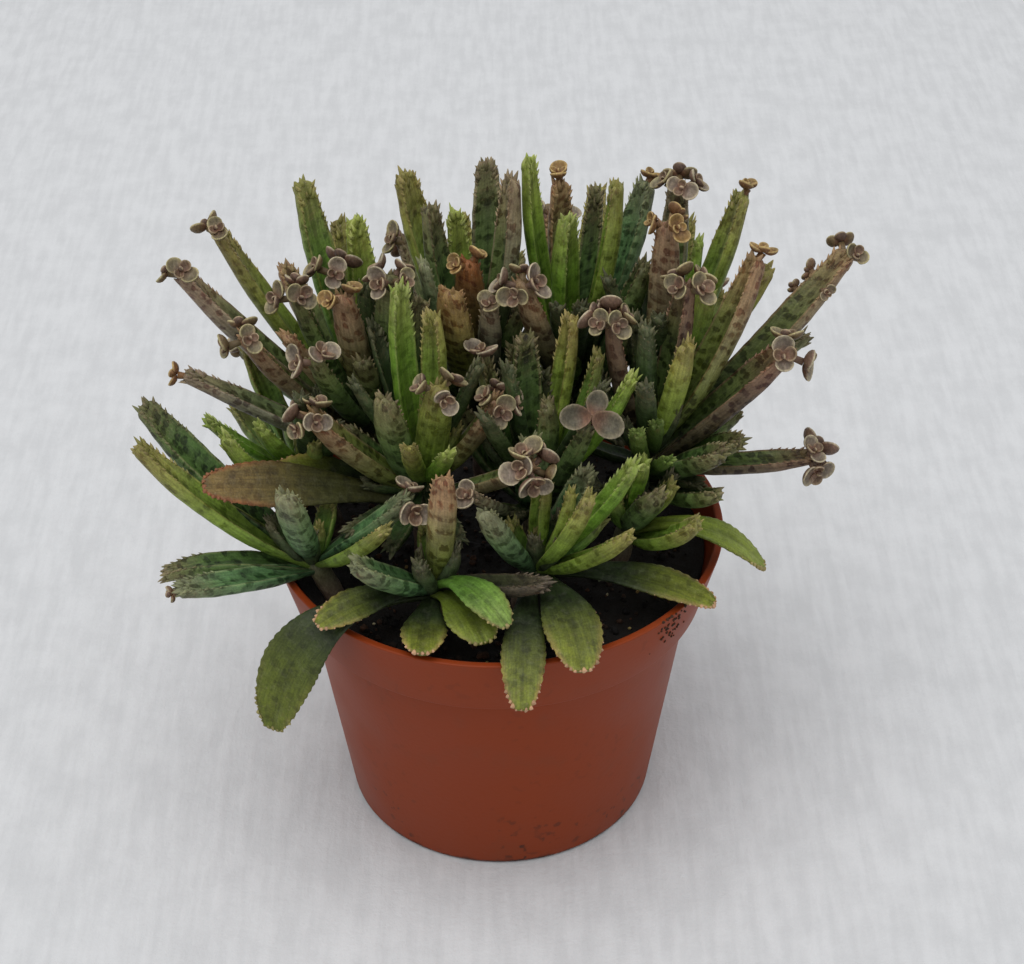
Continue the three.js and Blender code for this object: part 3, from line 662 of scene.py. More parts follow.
def tube_colours(leaf, t, rng):
    """The flesh and spot strength of a finger leaf, ring by ring and round each ring."""
    tone = TONES[leaf.tone]
    shift = BRIGHTEN + rng.uniform(*LEAF_SHIFT) + rng.normal(0, HUE_SHIFT, 3)
    rise = smoothstep(t, 0.2, 0.9)[:, None, None]
    flesh = mix(srgb(tone.low), srgb(tone.high), rise)
    inner = mix(srgb(tone.inside), srgb(tone.high), 0.3 * rise)
    flesh = np.repeat(flesh, len(RIB_X), axis=1)
    flesh[:, CHANNEL_SIDES] = inner
    tips = dryness(t + rng.uniform(-0.08, 0.05))[:, None, None]
    flesh = mix(flesh, srgb(tone.tip), 0.7 * tips)
    flesh[:, 0] *= GROOVE_SHADE
    for lip in (LIP_RIGHT, LIP_LEFT):
        flesh[:, lip] = mix(flesh[:, lip], srgb(tone.teeth), 0.4)
    # Painted shade towards the stem, over the leaf's own darker base
    flesh = flesh * rooted(t)[:, None, None]
    spots = np.repeat((tone.spots * smoothstep(t, 0.02, 0.25))[:, None], len(RIB_X), axis=1)
    return flesh * shift, spots


def round_end(t, length, half_end):
    """Closes the last part of a finger leaf to a rounded end."""
    reach = min(0.3, 0.7 * half_end / length)
    past = np.clip((t - (FLESH_END - reach)) / reach, 0, 1)
    return np.sqrt(1 - 0.97 * past ** 2)


def tube_rings(leaf, rng):
    """The rings of a finger leaf, its shares of length, its length and its frame at each ring."""
    t = FLESH_END * (1 - (1 - np.linspace(0, 1, TUBE_RINGS)) ** 1.5)
    middle, forward, channel, across = course(leaf, t)
    twist = rng.uniform(-MOST_TWIST, MOST_TWIST) * t[:, None]
    across = turned(across, forward, twist)
    channel = turned(channel, forward, twist)
    length = float(np.sum(np.linalg.norm(np.diff(middle, axis=0), axis=1)))
    half = leaf.width / 2 * fullness(leaf, t)
    half = half * round_end(t, length, half[-1])
    ripple = 1 + 0.02 * np.sin(t * length * 1.3 + rng.uniform(0, 6))
    closed = np.maximum(smoothstep(t, 0.78, 1.0), 1 - smoothstep(t, 0.0, 0.2))[:, None]
    x = RIB_X * (half * ripple)[:, None]
    y = mix(RIB_OPEN, RIB_CLOSED, closed) * half[:, None]
    rings = middle[:, None] + across[:, None] * x[..., None] + channel[:, None] * y[..., None]
    return rings, t, length, (forward, channel, across)


def tube_grain(t, length, width, number):
    """Places for the blotches: round the leaf from its groove, and along it, in millimetres."""
    around = RIB_ARC * width / 2 + LEAF_APART * number
    along = (t * length)[:, None] + 1.4 * RIB_X
    around = np.broadcast_to(around, along.shape)
    return np.stack([around, along, np.zeros_like(along)], axis=-1)


def tube_leaf(skin, leaf, number, rng):
    """A finger leaf with its teeth."""
    rings, t, length, frame_rows = tube_rings(leaf, rng)
    flesh, spots = tube_colours(leaf, t, rng)
    grain = tube_grain(t, length, leaf.width, number)
    skin.loft(rings, flesh, spots, grain, dry=dryness(t)[:, None])
    margin_teeth(skin, leaf, rings, t, length, frame_rows, flesh, grain, rng)
    crown_teeth(skin, leaf, rings, t, frame_rows, flesh, grain, rng)


def margin_teeth(skin, leaf, rings, t, length, frame_rows, flesh, grain, rng):
    """Fine teeth along both lips of the groove, longer towards the tip."""
    forward, channel, across = frame_rows
    cream = srgb(TONES[leaf.tone].teeth)
    toothed = min(TOOTHED_SHARE * length, TOOTHED_LENGTH)
    for sign, lip in ((1, LIP_RIGHT), (-1, LIP_LEFT)):
        s = 1.2 + 0.6 * rng.random()
        while s < toothed:
            row = int(np.searchsorted(t, FLESH_END - s / length))
            fade = rng.uniform(0.75, 1.2) * (1 - 0.5 * s / toothed)
            way = forward[row] * 0.9 + across[row] * sign * 0.6 + channel[row] * 0.25
            low = mix(flesh[row, lip], cream, 0.15)
            high = mix(flesh[row, lip], cream, rng.uniform(0.25, 0.8))
            tooth(skin, rings[row, lip], way, TOOTH_LENGTH * fade, TOOTH_WIDTH * fade, low, high,
                  grain[row, lip])
            s += TOOTH_STEP * rng.uniform(0.85, 1.2)


def crown_teeth(skin, leaf, rings, t, frame_rows, flesh, grain, rng):
    """Longer teeth round the rounded end."""
    forward, channel, across = frame_rows
    cream = srgb(TONES[leaf.tone].teeth)
    last = len(t) - 1
    for k in range(CROWN_TEETH):
        row = last - 1 - int(rng.integers(0, CROWN_ROWS))
        side = int((k + rng.random()) * 2 * HALF_SIDES / CROWN_TEETH)
        middle = rings[row].mean(axis=0)
        root = mix(middle, rings[row, side], 0.8)
        way = forward[last] + 0.3 * unit(rings[row, side] - middle)
        way = way + rng.normal(size=3) * 0.12
        low = mix(flesh[row, side], cream, 0.05)
        high = mix(flesh[row, side], cream, rng.uniform(0.1, 0.8))
        length = min(CROWN_LENGTH * rng.uniform(0.4, 1.0), 1 + max(0.0, room(root)))
        width = CROWN_WIDTH * rng.uniform(0.7, 1.2)
        tooth(skin, root, way, length, width, low, high, grain[row, side])


# Plantlets: pairs of small round cupped leaves on a stalk, in a ring round the end of a leaf

STALK_SIDES = 8
STALK = (1.3, 1.8)
BIG_STALK = (1.6, 2.4)
LEAFLET_SIDES = 18
LEAFLET_ROWS = [  # share of the radius, and depth below the upper face as a share of thickness
    (0.3, 0.0), (0.62, 0.0), (0.85, 0.0), (0.95, 0.08), (1.0, 0.5), (0.94, 0.9), (0.7, 1.0), (0.35, 1.0),
]
LEAFLET_THICKNESS = 0.65
PLANTLET_KINDS = {  # face, rim, back
    "grey": ("#766a5c", "#ab9f86", "#6a5344"),
    "olive": ("#706650", "#a39872", "#65543a"),
    "gold": ("#80643a", "#a99060", "#68492b"),
    "small": ("#6e6250", "#988a6e", "#65503c"),
    "large": ("#555041", "#7c735e", "#4e4236"),
    "heart": ("#66503f", "#96836a", "#5a463a"),
}
LEAFLET_LENGTH = {"grey": 4.4, "olive": 4.0, "gold": 3.3, "small": 2.6}
BIG_LEAFLETS = [(-92.0, 7.2), (20.0, 6.0), (120.0, 7.6)]  # turn from upright, length
BIG_FACE = np.array([0.0, -0.75, 0.66])
BIG_REACH = 1.2
HEART_DROP = 2.1
LEAFLET_CUP = 0.24
LEAFLET_SPOTS = 0.15
HEART_BROWN = "#6a4434"
SMALLEST_LEAFLET = 1.4
EDGE_ROOM = -0.1


def leaflet(skin, root, outward, normal, length, width, kind, grain):
    """A round cupped leaflet with a thick pale rim."""
    face, rim, back = (srgb(code) for code in PLANTLET_KINDS[kind])
    normal = unit(normal - outward * np.dot(normal, outward))
    sideways = np.cross(normal, outward)
    angle = np.arange(LEAFLET_SIDES) * 2 * math.pi / LEAFLET_SIDES
    egg = 1 - 0.25 * np.maximum(0, -np.cos(angle))
    rings = []
    flesh = []
    for share, depth in LEAFLET_ROWS:
        lift = LEAFLET_CUP * length * share ** 2.4 - depth * LEAFLET_THICKNESS
        ring = (root + outward * length / 2
                + outward * (np.cos(angle) * share * length / 2)[:, None]
                + sideways * (np.sin(angle) * egg * share * width / 2)[:, None]
                + normal * lift)
        rings.append(ring)
        colour = mix(face, rim, float(smoothstep(share, 0.7, 0.97))) if depth <= 0.5 else back
        heart = 0.75 * smoothstep(-np.cos(angle) * share, -0.2, 0.8)[:, None]
        flesh.append(mix(colour, srgb(HEART_BROWN), heart))
    rings = np.array(rings)
    skin.loft(rings, np.array(flesh), LEAFLET_SPOTS, grain + (rings - root))


def stalk(skin, start, end, thickness, colour, grain):
    """A short round stalk, with its thickness at each end."""
    share = np.array([0.0, 0.5, 1.0])
    middle = mix(start, end, share[:, None])
    thick = mix(*thickness, share)
    skin.loft(round_rings(middle, unit(end - start), thick / 2, STALK_SIDES), colour, 0.0, grain)


def tilt_of(count):
    """How far plantlets lean out: one stands straight on, two lean apart, more lean further."""
    if count == 1:
        return 0.0
    return PAIR_TILT if count == 2 else CLUSTER_TILT


def plantlets(skin, leaf, number, rng):
    """The plantlets of one leaf, in a ring round its toothed end."""
    middle, forward, channel, across = (rows[0] for rows in course(leaf, 1.0))
    tilt = tilt_of(leaf.plantlets)
    for k in range(leaf.plantlets):
        turn = 2 * math.pi * (k + CLUSTER_PHASE) / leaf.plantlets
        sideways = across * math.cos(turn) + channel * math.sin(turn)
        axis = forward * math.cos(tilt) + sideways * math.sin(tilt)
        tangent = unit(np.cross(forward, sideways))
        upright = np.cross(axis, tangent)
        wide, narrow = (tangent, upright) if k % 2 else (upright, tangent)
        half = leaf.width / 2
        seat = (middle + sideways * math.sin(tilt) * SEAT_SHARE * half
                - channel * SEAT_DROP * half - forward * SEAT_DEPTH)
        heart = seat + axis * (PLANTLET_REACH + SEAT_DEPTH - HEART_DROP)
        root = middle - forward * SEAT_DEPTH
        grain = np.array([LEAF_APART * number, PLANTLET_APART * (k + 1), 0.0])
        kind = leaf.kind
        if kind == "big":
            big_leaflet(skin, root, middle + forward * BIG_REACH, k, grain)
            continue
        if kind == "grey" and rng.random() < 0.35:
            kind = "olive"
        rosette(skin, root, heart, (axis, wide, narrow), kind, grain, rng)


def big_leaflet(skin, root, heart, k, grain):
    """One of three large leaflets that stand alone on a leaf."""
    turn, size = BIG_LEAFLETS[k]
    stalk(skin, root, heart, BIG_STALK, srgb(HEART_BROWN), grain)
    outward = turned(unit(UP - BIG_FACE * BIG_FACE[2]), BIG_FACE, -math.radians(turn))
    leaflet(skin, heart + BIG_FACE * 0.4 * k, outward, BIG_FACE, size, 0.82 * size, "large", grain)


def rosette(skin, seat, heart, frame_rows, kind, grain, rng):
    """One plantlet: a stalk, a large pair of leaflets, a crosswise smaller pair and a bud."""
    axis, wide, narrow = frame_rows
    axis = unit(axis + rng.normal(size=3) * 0.16)
    spin = rng.uniform(-0.6, 0.6)
    wide, narrow = (wide * math.cos(spin) + narrow * math.sin(spin),
                    narrow * math.cos(spin) - wide * math.sin(spin))
    colour = srgb(PLANTLET_KINDS[kind][2])
    stalk(skin, seat, heart, STALK, colour, grain)
    inner_kind = kind if kind == "gold" else "heart"
    size = LEAFLET_LENGTH[kind] * rng.uniform(0.85, 1.2)
    size = max(SMALLEST_LEAFLET, min(size, room(heart) + EDGE_ROOM))
    for sign in (1, -1):
        rise = rng.uniform(0.1, 0.7)
        outward = unit(wide * sign + axis * rise)
        own = size * rng.uniform(0.85, 1.1)
        leaflet(skin, heart, outward, axis, own, own * 1.05, kind, grain)
        outward = unit(narrow * sign + axis * (rise + 0.2))
        own = size * rng.uniform(0.5, 0.75)
        leaflet(skin, heart + axis * 0.5, outward, axis, own, own, inner_kind, grain)
    tip_way = unit(wide + axis * 2)
    leaflet(skin, heart + axis * 0.6, tip_way, narrow, 0.32 * size, 0.26 * size, inner_kind, grain)


def side_plantlets(skin, leaf, number, rng):
    """Small plantlets on the lips of a finger leaf."""
    for share, side in leaf.beside:
        middle, forward, channel, across = (rows[0] for rows in course(leaf, share))
        outward = unit(across * side + channel * 0.3 + forward * 0.2)
        lip = middle + outward * leaf.width / 2 * fullness(leaf, share)
        wide = unit(np.cross(outward, forward))
        grain = np.array([LEAF_APART * number, PLANTLET_APART * (20 + share), 0.0])
        frame_rows = (outward, forward, wide)
        rosette(skin, lip - outward * 1.5, lip + outward * 0.8, frame_rows, "small", grain, rng)


# Flat lower leaves: spatulate blades with a crenate margin

BLADE_RINGS = 84
BLADE_SIDES = 12
CRENATION_STEP = 2.1
CRENATION_DEPTH = 0.35
BLADE_TOOTH_LENGTH = 0.5
BLADE_TOOTH_WIDTH = 1.15
BLADE_EDGE_ROOM = 0.1
BLADE_SPOTS = 0.65


def blade_half(leaf, t, length):
    """Half the width of a blade, scalloped towards its end."""
    half = leaf.width / 2 * fullness(leaf, np.minimum(t, 0.9985))
    wave = np.abs(np.sin(math.pi * t * length / CRENATION_STEP))
    depth = CRENATION_DEPTH * smoothstep(t, 0.4, 0.75) * np.minimum(1, half / 2)
    return half - depth * (1 - wave)


def blade_leaf(skin, leaf, number, rng):
    """A flat leaf on its petiole."""
    tone = TONES[leaf.tone]
    t = 1 - (1 - np.linspace(0, 1, BLADE_RINGS)) ** 1.3
    middle, forward, channel, across = course(leaf, t)
    length = float(np.sum(np.linalg.norm(np.diff(middle, axis=0), axis=1)))
    half = blade_half(leaf, t, length)
    share = np.cos(np.linspace(0, math.pi, BLADE_SIDES + 1))
    bulge = np.sqrt(np.maximum(0, 1 - share ** 2))
    above = 0.4 * bulge - 0.14 * np.exp(-(share / 0.14) ** 2)
    below = -0.5 * bulge
    lane = np.concatenate([share, share[::-1][1:-1]])
    rise = np.concatenate([above, below[::-1][1:-1]])
    thick = BLADE_THICKNESS * (1 - 0.35 * smoothstep(t, 0.7, 1)) * np.minimum(1, half / 2)
    x = lane * half[:, None]
    y = rise * thick[:, None] + BLADE_CUP * lane ** 2 * half[:, None]
    rings = middle[:, None] + across[:, None] * x[..., None] + channel[:, None] * y[..., None]
    along = (t * length)[:, None] + 0 * x
    grain = np.stack([x + LEAF_APART * number, along, np.full_like(x, 4)], axis=-1)
    growth = smoothstep(t, 0.45, 1.0)[:, None, None]
    flesh = mix(srgb(tone.low), srgb(tone.high), growth) * (BRIGHTEN + rng.uniform(-0.1, 0.1))
    rim = smoothstep(np.abs(lane), 0.7, 1.0)[None, :, None] * smoothstep(t, 0.6, 0.97)[:, None, None]
    flesh = mix(flesh, srgb(tone.tip), 0.85 * rim)
    vein = 1 - 0.25 * np.exp(-(lane / 0.1) ** 2)[None, :, None]
    # Painted shade towards the stem, over the blade's own darker base
    flesh = flesh * vein * rooted(t)[:, None, None]
    spots = np.broadcast_to((BLADE_SPOTS * tone.spots * smoothstep(t, 0.1, 0.4))[:, None], x.shape)
    skin.loft(rings, flesh, spots, grain, dry=0.35 * dryness(t)[:, None])
    blade_teeth(skin, rings, flesh, grain, srgb(tone.teeth), rng)


def blade_teeth(skin, rings, flesh, grain, cream, rng):
    """Small round teeth along the outer margins of a blade and round its nose."""
    margin = np.concatenate([rings[:, 0], rings[::-1, BLADE_SIDES]])
    row = np.concatenate([np.arange(BLADE_RINGS), np.arange(BLADE_RINGS)[::-1]])
    gone = np.concatenate([[0], np.cumsum(np.linalg.norm(np.diff(margin, axis=0), axis=1))])
    centre = rings[BLADE_RINGS * 2 // 3].mean(axis=0)
    s = gone[-1] * 0.3
    while s < gone[-1] * 0.7:
        k = int(np.searchsorted(gone, s))
        root = np.array([np.interp(s, gone, margin[:, axis]) for axis in range(3)])
        inner = rings[row[k]].mean(axis=0)
        way = unit(unit(root - inner) + 0.6 * unit(root - centre))
        end_share = 1 - 2 * abs(s / gone[-1] - 0.5)
        low = mix(flesh[row[k], 0], cream, 0.3 + 0.5 * end_share)
        end_share = float(smoothstep(end_share, 0.75, 0.95))
        size = rng.uniform(0.5, 1.25) * mix(0.2, 1.0, end_share)
        length = min(BLADE_TOOTH_LENGTH * size, room(root) - BLADE_EDGE_ROOM)
        if length > 0:
            tooth(skin, root, way, length, BLADE_TOOTH_WIDTH * size, low, cream, grain[row[k], 0])
        s += CRENATION_STEP * rng.uniform(0.8, 1.2) * mix(1.0, 0.55, end_share)


# Stems, the young leaves at their tops, and the dark leaves that fill the shade

STEM_RINGS = 30
STEM_SIDES = 16
STEM_SPOTS = 0.25
STEM_BROWN = "#5a4a40"
STEM_GREEN = "#5c6040"
STEM_APART = 57.0
NODE_STEP = 5
NODE_DEPTH = 0.07


def stem(skin, plant, number):
    """A fleshy stem with faint nodes."""
    top = np.array(plant.top, float)
    lean = unit(top - stem_point(plant, 0))
    bottom = stem_point(plant, 0) - lean * STEM_DEPTH / lean[2]
    end = top + lean * STEM_OVER_TOP
    share = np.linspace(0, 1, STEM_RINGS)
    radius = mix(STEM_RADIUS, STEM_TOP_RADIUS, smoothstep(share, 0.82, 1))
    height = np.linalg.norm(end - bottom)
    wave = 1 - np.cos(share * height * 2 * math.pi / NODE_STEP)
    radius = radius * (1 - NODE_DEPTH * wave / 2)
    angle = np.arange(STEM_SIDES) * 2 * math.pi / STEM_SIDES
    spokes = np.column_stack([np.cos(angle), np.sin(angle), np.zeros(16)])
    rings = mix(bottom, end, share[:, None])[:, None] + spokes[None] * radius[:, None, None]
    flesh = mix(srgb(STEM_BROWN), srgb(STEM_GREEN), smoothstep(share, 0.4, 1)[:, None, None])
    grain = rings + np.array([0, STEM_APART * number, 0])
    skin.loft(rings, flesh, STEM_SPOTS, grain)


PLANT_SEED = 100
YOUNG_LEAVES = 5
FRONT_YOUNG = 0.7
YOUNG_LENGTH = (9, 13)
YOUNG_GROWTH = 12
YOUNG_WIDTH = (3.4, 4.6)
YOUNG_BOW = 1.2
GOLDEN_TURN = 2.4
INNER_LEAVES = 3
INNER_TRIES = 60
INNER_WIDTH = 4.8
INNER_LEAN = (0.05, 0.6)
INNER_LENGTH = (24, 38)
FRONT_ROW = -6.0
LOW_LEAVES = {
    "plant_front_left": [(-50, -2, 82), (-28, -8, 82)],
    "plant_left": [(-54, -6, 86), (-30, -8, 88)],
    "plant_centre_left": [(-34, -19, 86), (-24, -23, 84), (-8, -20, 84), (-30, -8, 92)],
    "plant_centre": [(-2, -18, 85), (4, -18, 90), (22, -9, 90), (11, 6, 113), (2, 6, 114)],
    "plant_right_front": [(34, 2, 90), (22, -4, 88)],
    "plant_right": [(23, 8, 111), (46, -8, 90), (44, 14, 96), (18, 14, 88)],
    "plant_back_right": [(30, 14, 86), (10, 10, 90)],
}


def straight_leaf(base, tip, outward, bow, width, tone):
    """A finger leaf that isn't in the table, bowed a little away from the stem."""
    leaf = tube(0, 0, 0, width, tone)
    leaf.base = base
    leaf.tip = tip
    leaf.bend = (base + tip) / 2 + outward * bow
    leaf.side = np.array([-outward[1], outward[0], 0])
    return leaf


def young_leaves(skin, plant, number, rng):
    """A heart of small leaves at the top of the stem."""
    top = np.array(plant.top, float)
    for k in range(YOUNG_LEAVES):
        turn = GOLDEN_TURN * k + number
        outward = np.array([math.cos(turn), math.sin(turn), 0])
        spread = 0.25 + 0.65 * k / YOUNG_LEAVES
        length = rng.uniform(*YOUNG_LENGTH) + YOUNG_GROWTH * k / YOUNG_LEAVES
        if plant.foot[1] < FRONT_ROW:
            length *= FRONT_YOUNG
        width = rng.uniform(*YOUNG_WIDTH) + k / YOUNG_LEAVES
        base = top - UP * (1.5 + 0.5 * k)
        tip = top + unit(UP + outward * spread) * length
        leaf = straight_leaf(base, tip, outward, YOUNG_BOW, width, "young" if k % 3 else "green")
        tube_leaf(skin, leaf, number * LABELS + YOUNG_LABEL + k, rng)


def balls_along(leaf):
    """Middle points along a leaf, and half its width at each."""
    t = np.linspace(0.15, 1, 14)
    return course(leaf, t)[0], leaf.width / 2 * fullness(leaf, np.minimum(t, 0.99))


def low_leaves(skin, plant, number, rng):
    """Dark leaves low in the clump, between the stems, their dark tone painted shade."""
    for k, tip in enumerate(LOW_LEAVES.get(plant.name, [])):
        leaf = tube(*tip, INNER_WIDTH, "inner")
        place_leaf(plant, leaf, len(plant.leaves) // 2)
        tube_leaf(skin, leaf, number * LABELS + LOW_LABEL + k, rng)


def inner_leaves(skin, plant, number, rng, taken):
    """Slender dark leaves from the top of the stem to where there is most room between the others, their
    dark tone painted shade.
    """
    top = np.array(plant.top, float)
    for k in range(INNER_LEAVES):
        best = -math.inf
        for _ in range(INNER_TRIES):
            turn = rng.uniform(0, 2 * math.pi)
            outward = np.array([math.cos(turn), math.sin(turn), 0])
            way = unit(UP + outward * rng.uniform(*INNER_LEAN))
            tip = top + way * rng.uniform(*INNER_LENGTH)
            leaf = straight_leaf(top, tip, outward, 1.0, INNER_WIDTH, "inner")
            middle = balls_along(leaf)[0][4:]
            apart = np.linalg.norm(middle[:, None] - taken[0][None], axis=2) - taken[1]
            if apart.min() > best:
                best = apart.min()
                chosen = leaf
        tube_leaf(skin, chosen, number * LABELS + INNER_LABEL + k, rng)
        points, radii = balls_along(chosen)
        taken[0] = np.vstack([taken[0], points])
        taken[1] = np.concatenate([taken[1], radii])


def plant_piece(plant, number, material, taken):
    """One plant: its stem, leaves, teeth and plantlets."""
    rng = np.random.default_rng(PLANT_SEED + number)
    skin = Skin()
    stem(skin, plant, number)
    young_leaves(skin, plant, number, rng)
    low_leaves(skin, plant, number, rng)
    if plant.foot[1] > FRONT_ROW:
        inner_leaves(skin, plant, number, rng, taken)
    for order, leaf in enumerate(plant.leaves):
        label = number * LABELS + order
        if leaf.form == "tube":
            tube_leaf(skin, leaf, label, rng)
            plantlets(skin, leaf, label, rng)
            side_plantlets(skin, leaf, label, rng)
        else:
            blade_leaf(skin, leaf, label, rng)
    make_piece(plant.name + "_fine", skin, material, plant.name)


# Materials, all worked out from noise


class Tree:
    """A short way to write a material's nodes."""

    def __init__(self, name):
        self.material = bpy.data.materials.new(name)
        self.material.use_nodes = True
        self.nodes = self.material.node_tree.nodes
        self.links = self.material.node_tree.links
        self.shader = self.nodes["Principled BSDF"]

    def set(self, socket, value):
        """Links a socket to another node's socket, or gives it a value."""
        if isinstance(value, bpy.types.NodeSocket):
            self.links.new(value, socket)
        else:
            socket.default_value = value

    def add(self, kind, inputs=None, **settings):
        """A node with its settings and inputs."""
        node = self.nodes.new(kind)
        for key, value in settings.items():
            setattr(node, key, value)
        for key, value in (inputs or {}).items():
            self.set(node.inputs[key], value)
        return node

    def attribute(self, name):
        """An attribute of the mesh."""
        return self.add("ShaderNodeAttribute", attribute_name=name)

    def noise(self, vector, scale, detail=3.0, rough=0.55):
        """The grey value of a noise texture."""
        inputs = {"Vector": vector, "Scale": scale, "Detail": detail, "Roughness": rough}
        return self.add("ShaderNodeTexNoise", inputs).outputs["Fac"]

    def mottle(self, vector, scale, detail, low, high, to_low=0.0, to_high=1.0, rough=0.55):
        """A noise texture, stepped from low to high."""
        return self.ramp(self.noise(vector, scale, detail, rough), low, high, to_low, to_high)

    def ramp(self, value, low, high, to_low=0.0, to_high=1.0):
        """A smooth step of a value from low to high."""
        inputs = {"Value": value, "From Min": low, "From Max": high, "To Min": to_low, "To Max": to_high}
        node = self.add("ShaderNodeMapRange", inputs, interpolation_type="SMOOTHSTEP")
        return node.outputs["Result"]

    def math(self, operation, a, b=0.0):
        """A sum, product or the like of two values."""
        return self.add("ShaderNodeMath", {0: a, 1: b}, operation=operation).outputs[0]

    def times(self, first, *others):
        """The product of values."""
        for other in others:
            first = self.math("MULTIPLY", first, other)
        return first

    def shaded(self, colour, shade):
        """A colour made darker or lighter by a grey value."""
        grey = self.add("ShaderNodeCombineColor", {0: shade, 1: shade, 2: shade}).outputs[0]
        return self.blend(1.0, colour, grey, "MULTIPLY")

    def blend(self, share, a, b, mode="MIX"):
        """Two colours, mixed."""
        node = self.add("ShaderNodeMix", data_type="RGBA", blend_type=mode)
        self.set(node.inputs[0], share)
        self.set(node.inputs[6], a)
        self.set(node.inputs[7], b)
        return node.outputs[2]

    def surface(self, **values):
        """The shader's own inputs, each named with _ for a space."""
        for name, value in values.items():
            self.set(self.shader.inputs[name.replace("_", " ")], value)

    def bump(self, height, strength, distance):
        """A bump that the shader uses."""
        inputs = {"Height": height, "Strength": strength, "Distance": distance}
        self.set(self.shader.inputs["Normal"], self.add("ShaderNodeBump", inputs).outputs["Normal"])


def rgba(code):
    """A colour code as the four numbers of a colour socket."""
    return (*srgb(code), 1.0)


def leaf_material():
    """Fleshy leaf: blotched, speckled and with a thin waxy bloom."""
    tree = Tree("leaf_flesh")
    grain = tree.attribute("grain").outputs["Vector"]
    flesh = tree.attribute("flesh").outputs["Color"]
    spots = tree.attribute("spots").outputs["Fac"]
    dry = tree.attribute("dry").outputs["Fac"]
    wander = tree.add("ShaderNodeTexNoise", {"Vector": grain, "Scale": 0.6, "Detail": 3.0})
    bent = tree.add("ShaderNodeVectorMath", {0: wander.outputs["Color"], 1: (2.6, 2.2, 0.0)},
                    operation="MULTIPLY")
    place = tree.add("ShaderNodeVectorMath", {0: grain, 1: bent.outputs[0]}, operation="ADD")
    cell = tree.add("ShaderNodeMapping", {"Vector": place.outputs[0], "Scale": (0.36, 0.42, 1.0)})
    cells = tree.add("ShaderNodeTexVoronoi", {"Vector": cell.outputs[0], "Scale": 1.0, "Randomness": 0.9},
                     voronoi_dimensions="2D")
    patch = tree.ramp(cells.outputs["Distance"], 0.48, 0.24)
    uneven = tree.mottle(grain, 0.3, 2.0, 0.34, 0.56, 0.2, 1.0)
    cell_value = tree.add("ShaderNodeSeparateColor", {0: cells.outputs["Color"]}).outputs[0]
    own = tree.ramp(cell_value, 0.0, 0.6, 0.35, 1.0)
    blot = tree.math("MINIMUM", tree.times(patch, uneven, own, spots), 1.0)
    broad = tree.mottle(grain, 0.16, 2.0, 0.3, 0.7, 0.8, 1.2)
    fine = tree.mottle(grain, 2.0, 3.0, 0.3, 0.7, 0.84, 1.16)
    drawn = tree.add("ShaderNodeMapping", {"Vector": grain, "Scale": (1.7, 0.12, 1.0)})
    streak = tree.mottle(drawn.outputs[0], 1.0, 2.0, 0.3, 0.7, 0.8, 1.2)
    colour = tree.shaded(flesh, tree.times(broad, fine, streak))
    tan = tree.times(tree.mottle(grain, 0.45, 3.0, 0.5, 0.75, 0.0, 0.45, 0.6), dry)
    colour = tree.blend(tan, colour, rgba("#7d6248"))
    deep = tree.add("ShaderNodeGamma", {"Color": colour, "Gamma": 1.65}).outputs[0]
    stain = tree.blend(1.0, deep, (1.15, 0.98, 1.3, 1.0), "MULTIPLY")
    colour = tree.blend(tree.times(blot, 0.95), colour, stain)
    fleck = tree.times(tree.mottle(grain, 1.7, 2.0, 0.62, 0.72, 0.0, 0.5, 0.5), dry)
    colour = tree.blend(fleck, colour, rgba("#a08f74"))
    bloom = tree.mottle(grain, 0.5, 4.0, 0.45, 0.8, 0.0, 0.1, 0.65)
    colour = tree.blend(bloom, colour, rgba("#8f9080"))
    roughness = tree.mottle(grain, 1.1, 2.0, 0.3, 0.7, 0.45, 0.62)
    tree.surface(Base_Color=colour, Roughness=roughness, Specular_IOR_Level=0.28)
    tree.surface(Subsurface_Weight=0.1, Subsurface_Radius=(0.8, 1.0, 0.3), Subsurface_Scale=0.0012)
    height = tree.math("ADD", tree.noise(grain, 1.4, 3.0), tree.times(blot, -0.25))
    tree.bump(height, 0.35, 0.0004)
    return tree.material


def pot_material():
    """Moulded plastic, terracotta coloured, with soil stains low down and inside, and a dark band at the
    foot that is part dirt, part painted shade.
    """
    tree = Tree("terracotta_plastic")
    place = tree.add("ShaderNodeTexCoord").outputs["Object"]
    z = tree.add("ShaderNodeSeparateXYZ", {0: place}).outputs["Z"]
    broad = tree.noise(place, 30.0, 2.0)
    colour = tree.blend(broad, rgba("#7c300f"), rgba("#863713"))
    low = tree.ramp(z, 0.022, 0.002)
    specks = tree.mottle(place, 420.0, 2.0, 0.60, 0.68, rough=0.4)
    patches = tree.mottle(place, 60.0, 3.0, 0.45, 0.65, rough=0.6)
    dirt = tree.times(specks, patches, tree.math("ADD", low, 0.12))
    colour = tree.blend(dirt, colour, rgba("#241a14"))
    film = tree.mottle(place, 90.0, 4.0, 0.5, 0.8, 0.0, 0.25, 0.65)
    colour = tree.blend(film, colour, rgba("#6a3c28"))
    # A dark band round the foot: part dirt, part painted shade along its bottom edge
    ragged = tree.times(tree.noise(place, 260.0, 3.0, 0.6), 0.004)
    foot = tree.ramp(tree.math("ADD", z, ragged), 0.0036, 0.0022, 0.0, 0.85)
    colour = tree.blend(foot, colour, rgba("#2a1811"))
    roughness = tree.ramp(broad, 0.3, 0.7, 0.42, 0.54)
    tree.surface(Base_Color=colour, Roughness=roughness, Specular_IOR_Level=0.17)
    tree.bump(tree.noise(place, 900.0, 2.0), 0.12, 0.0003)
    return tree.material


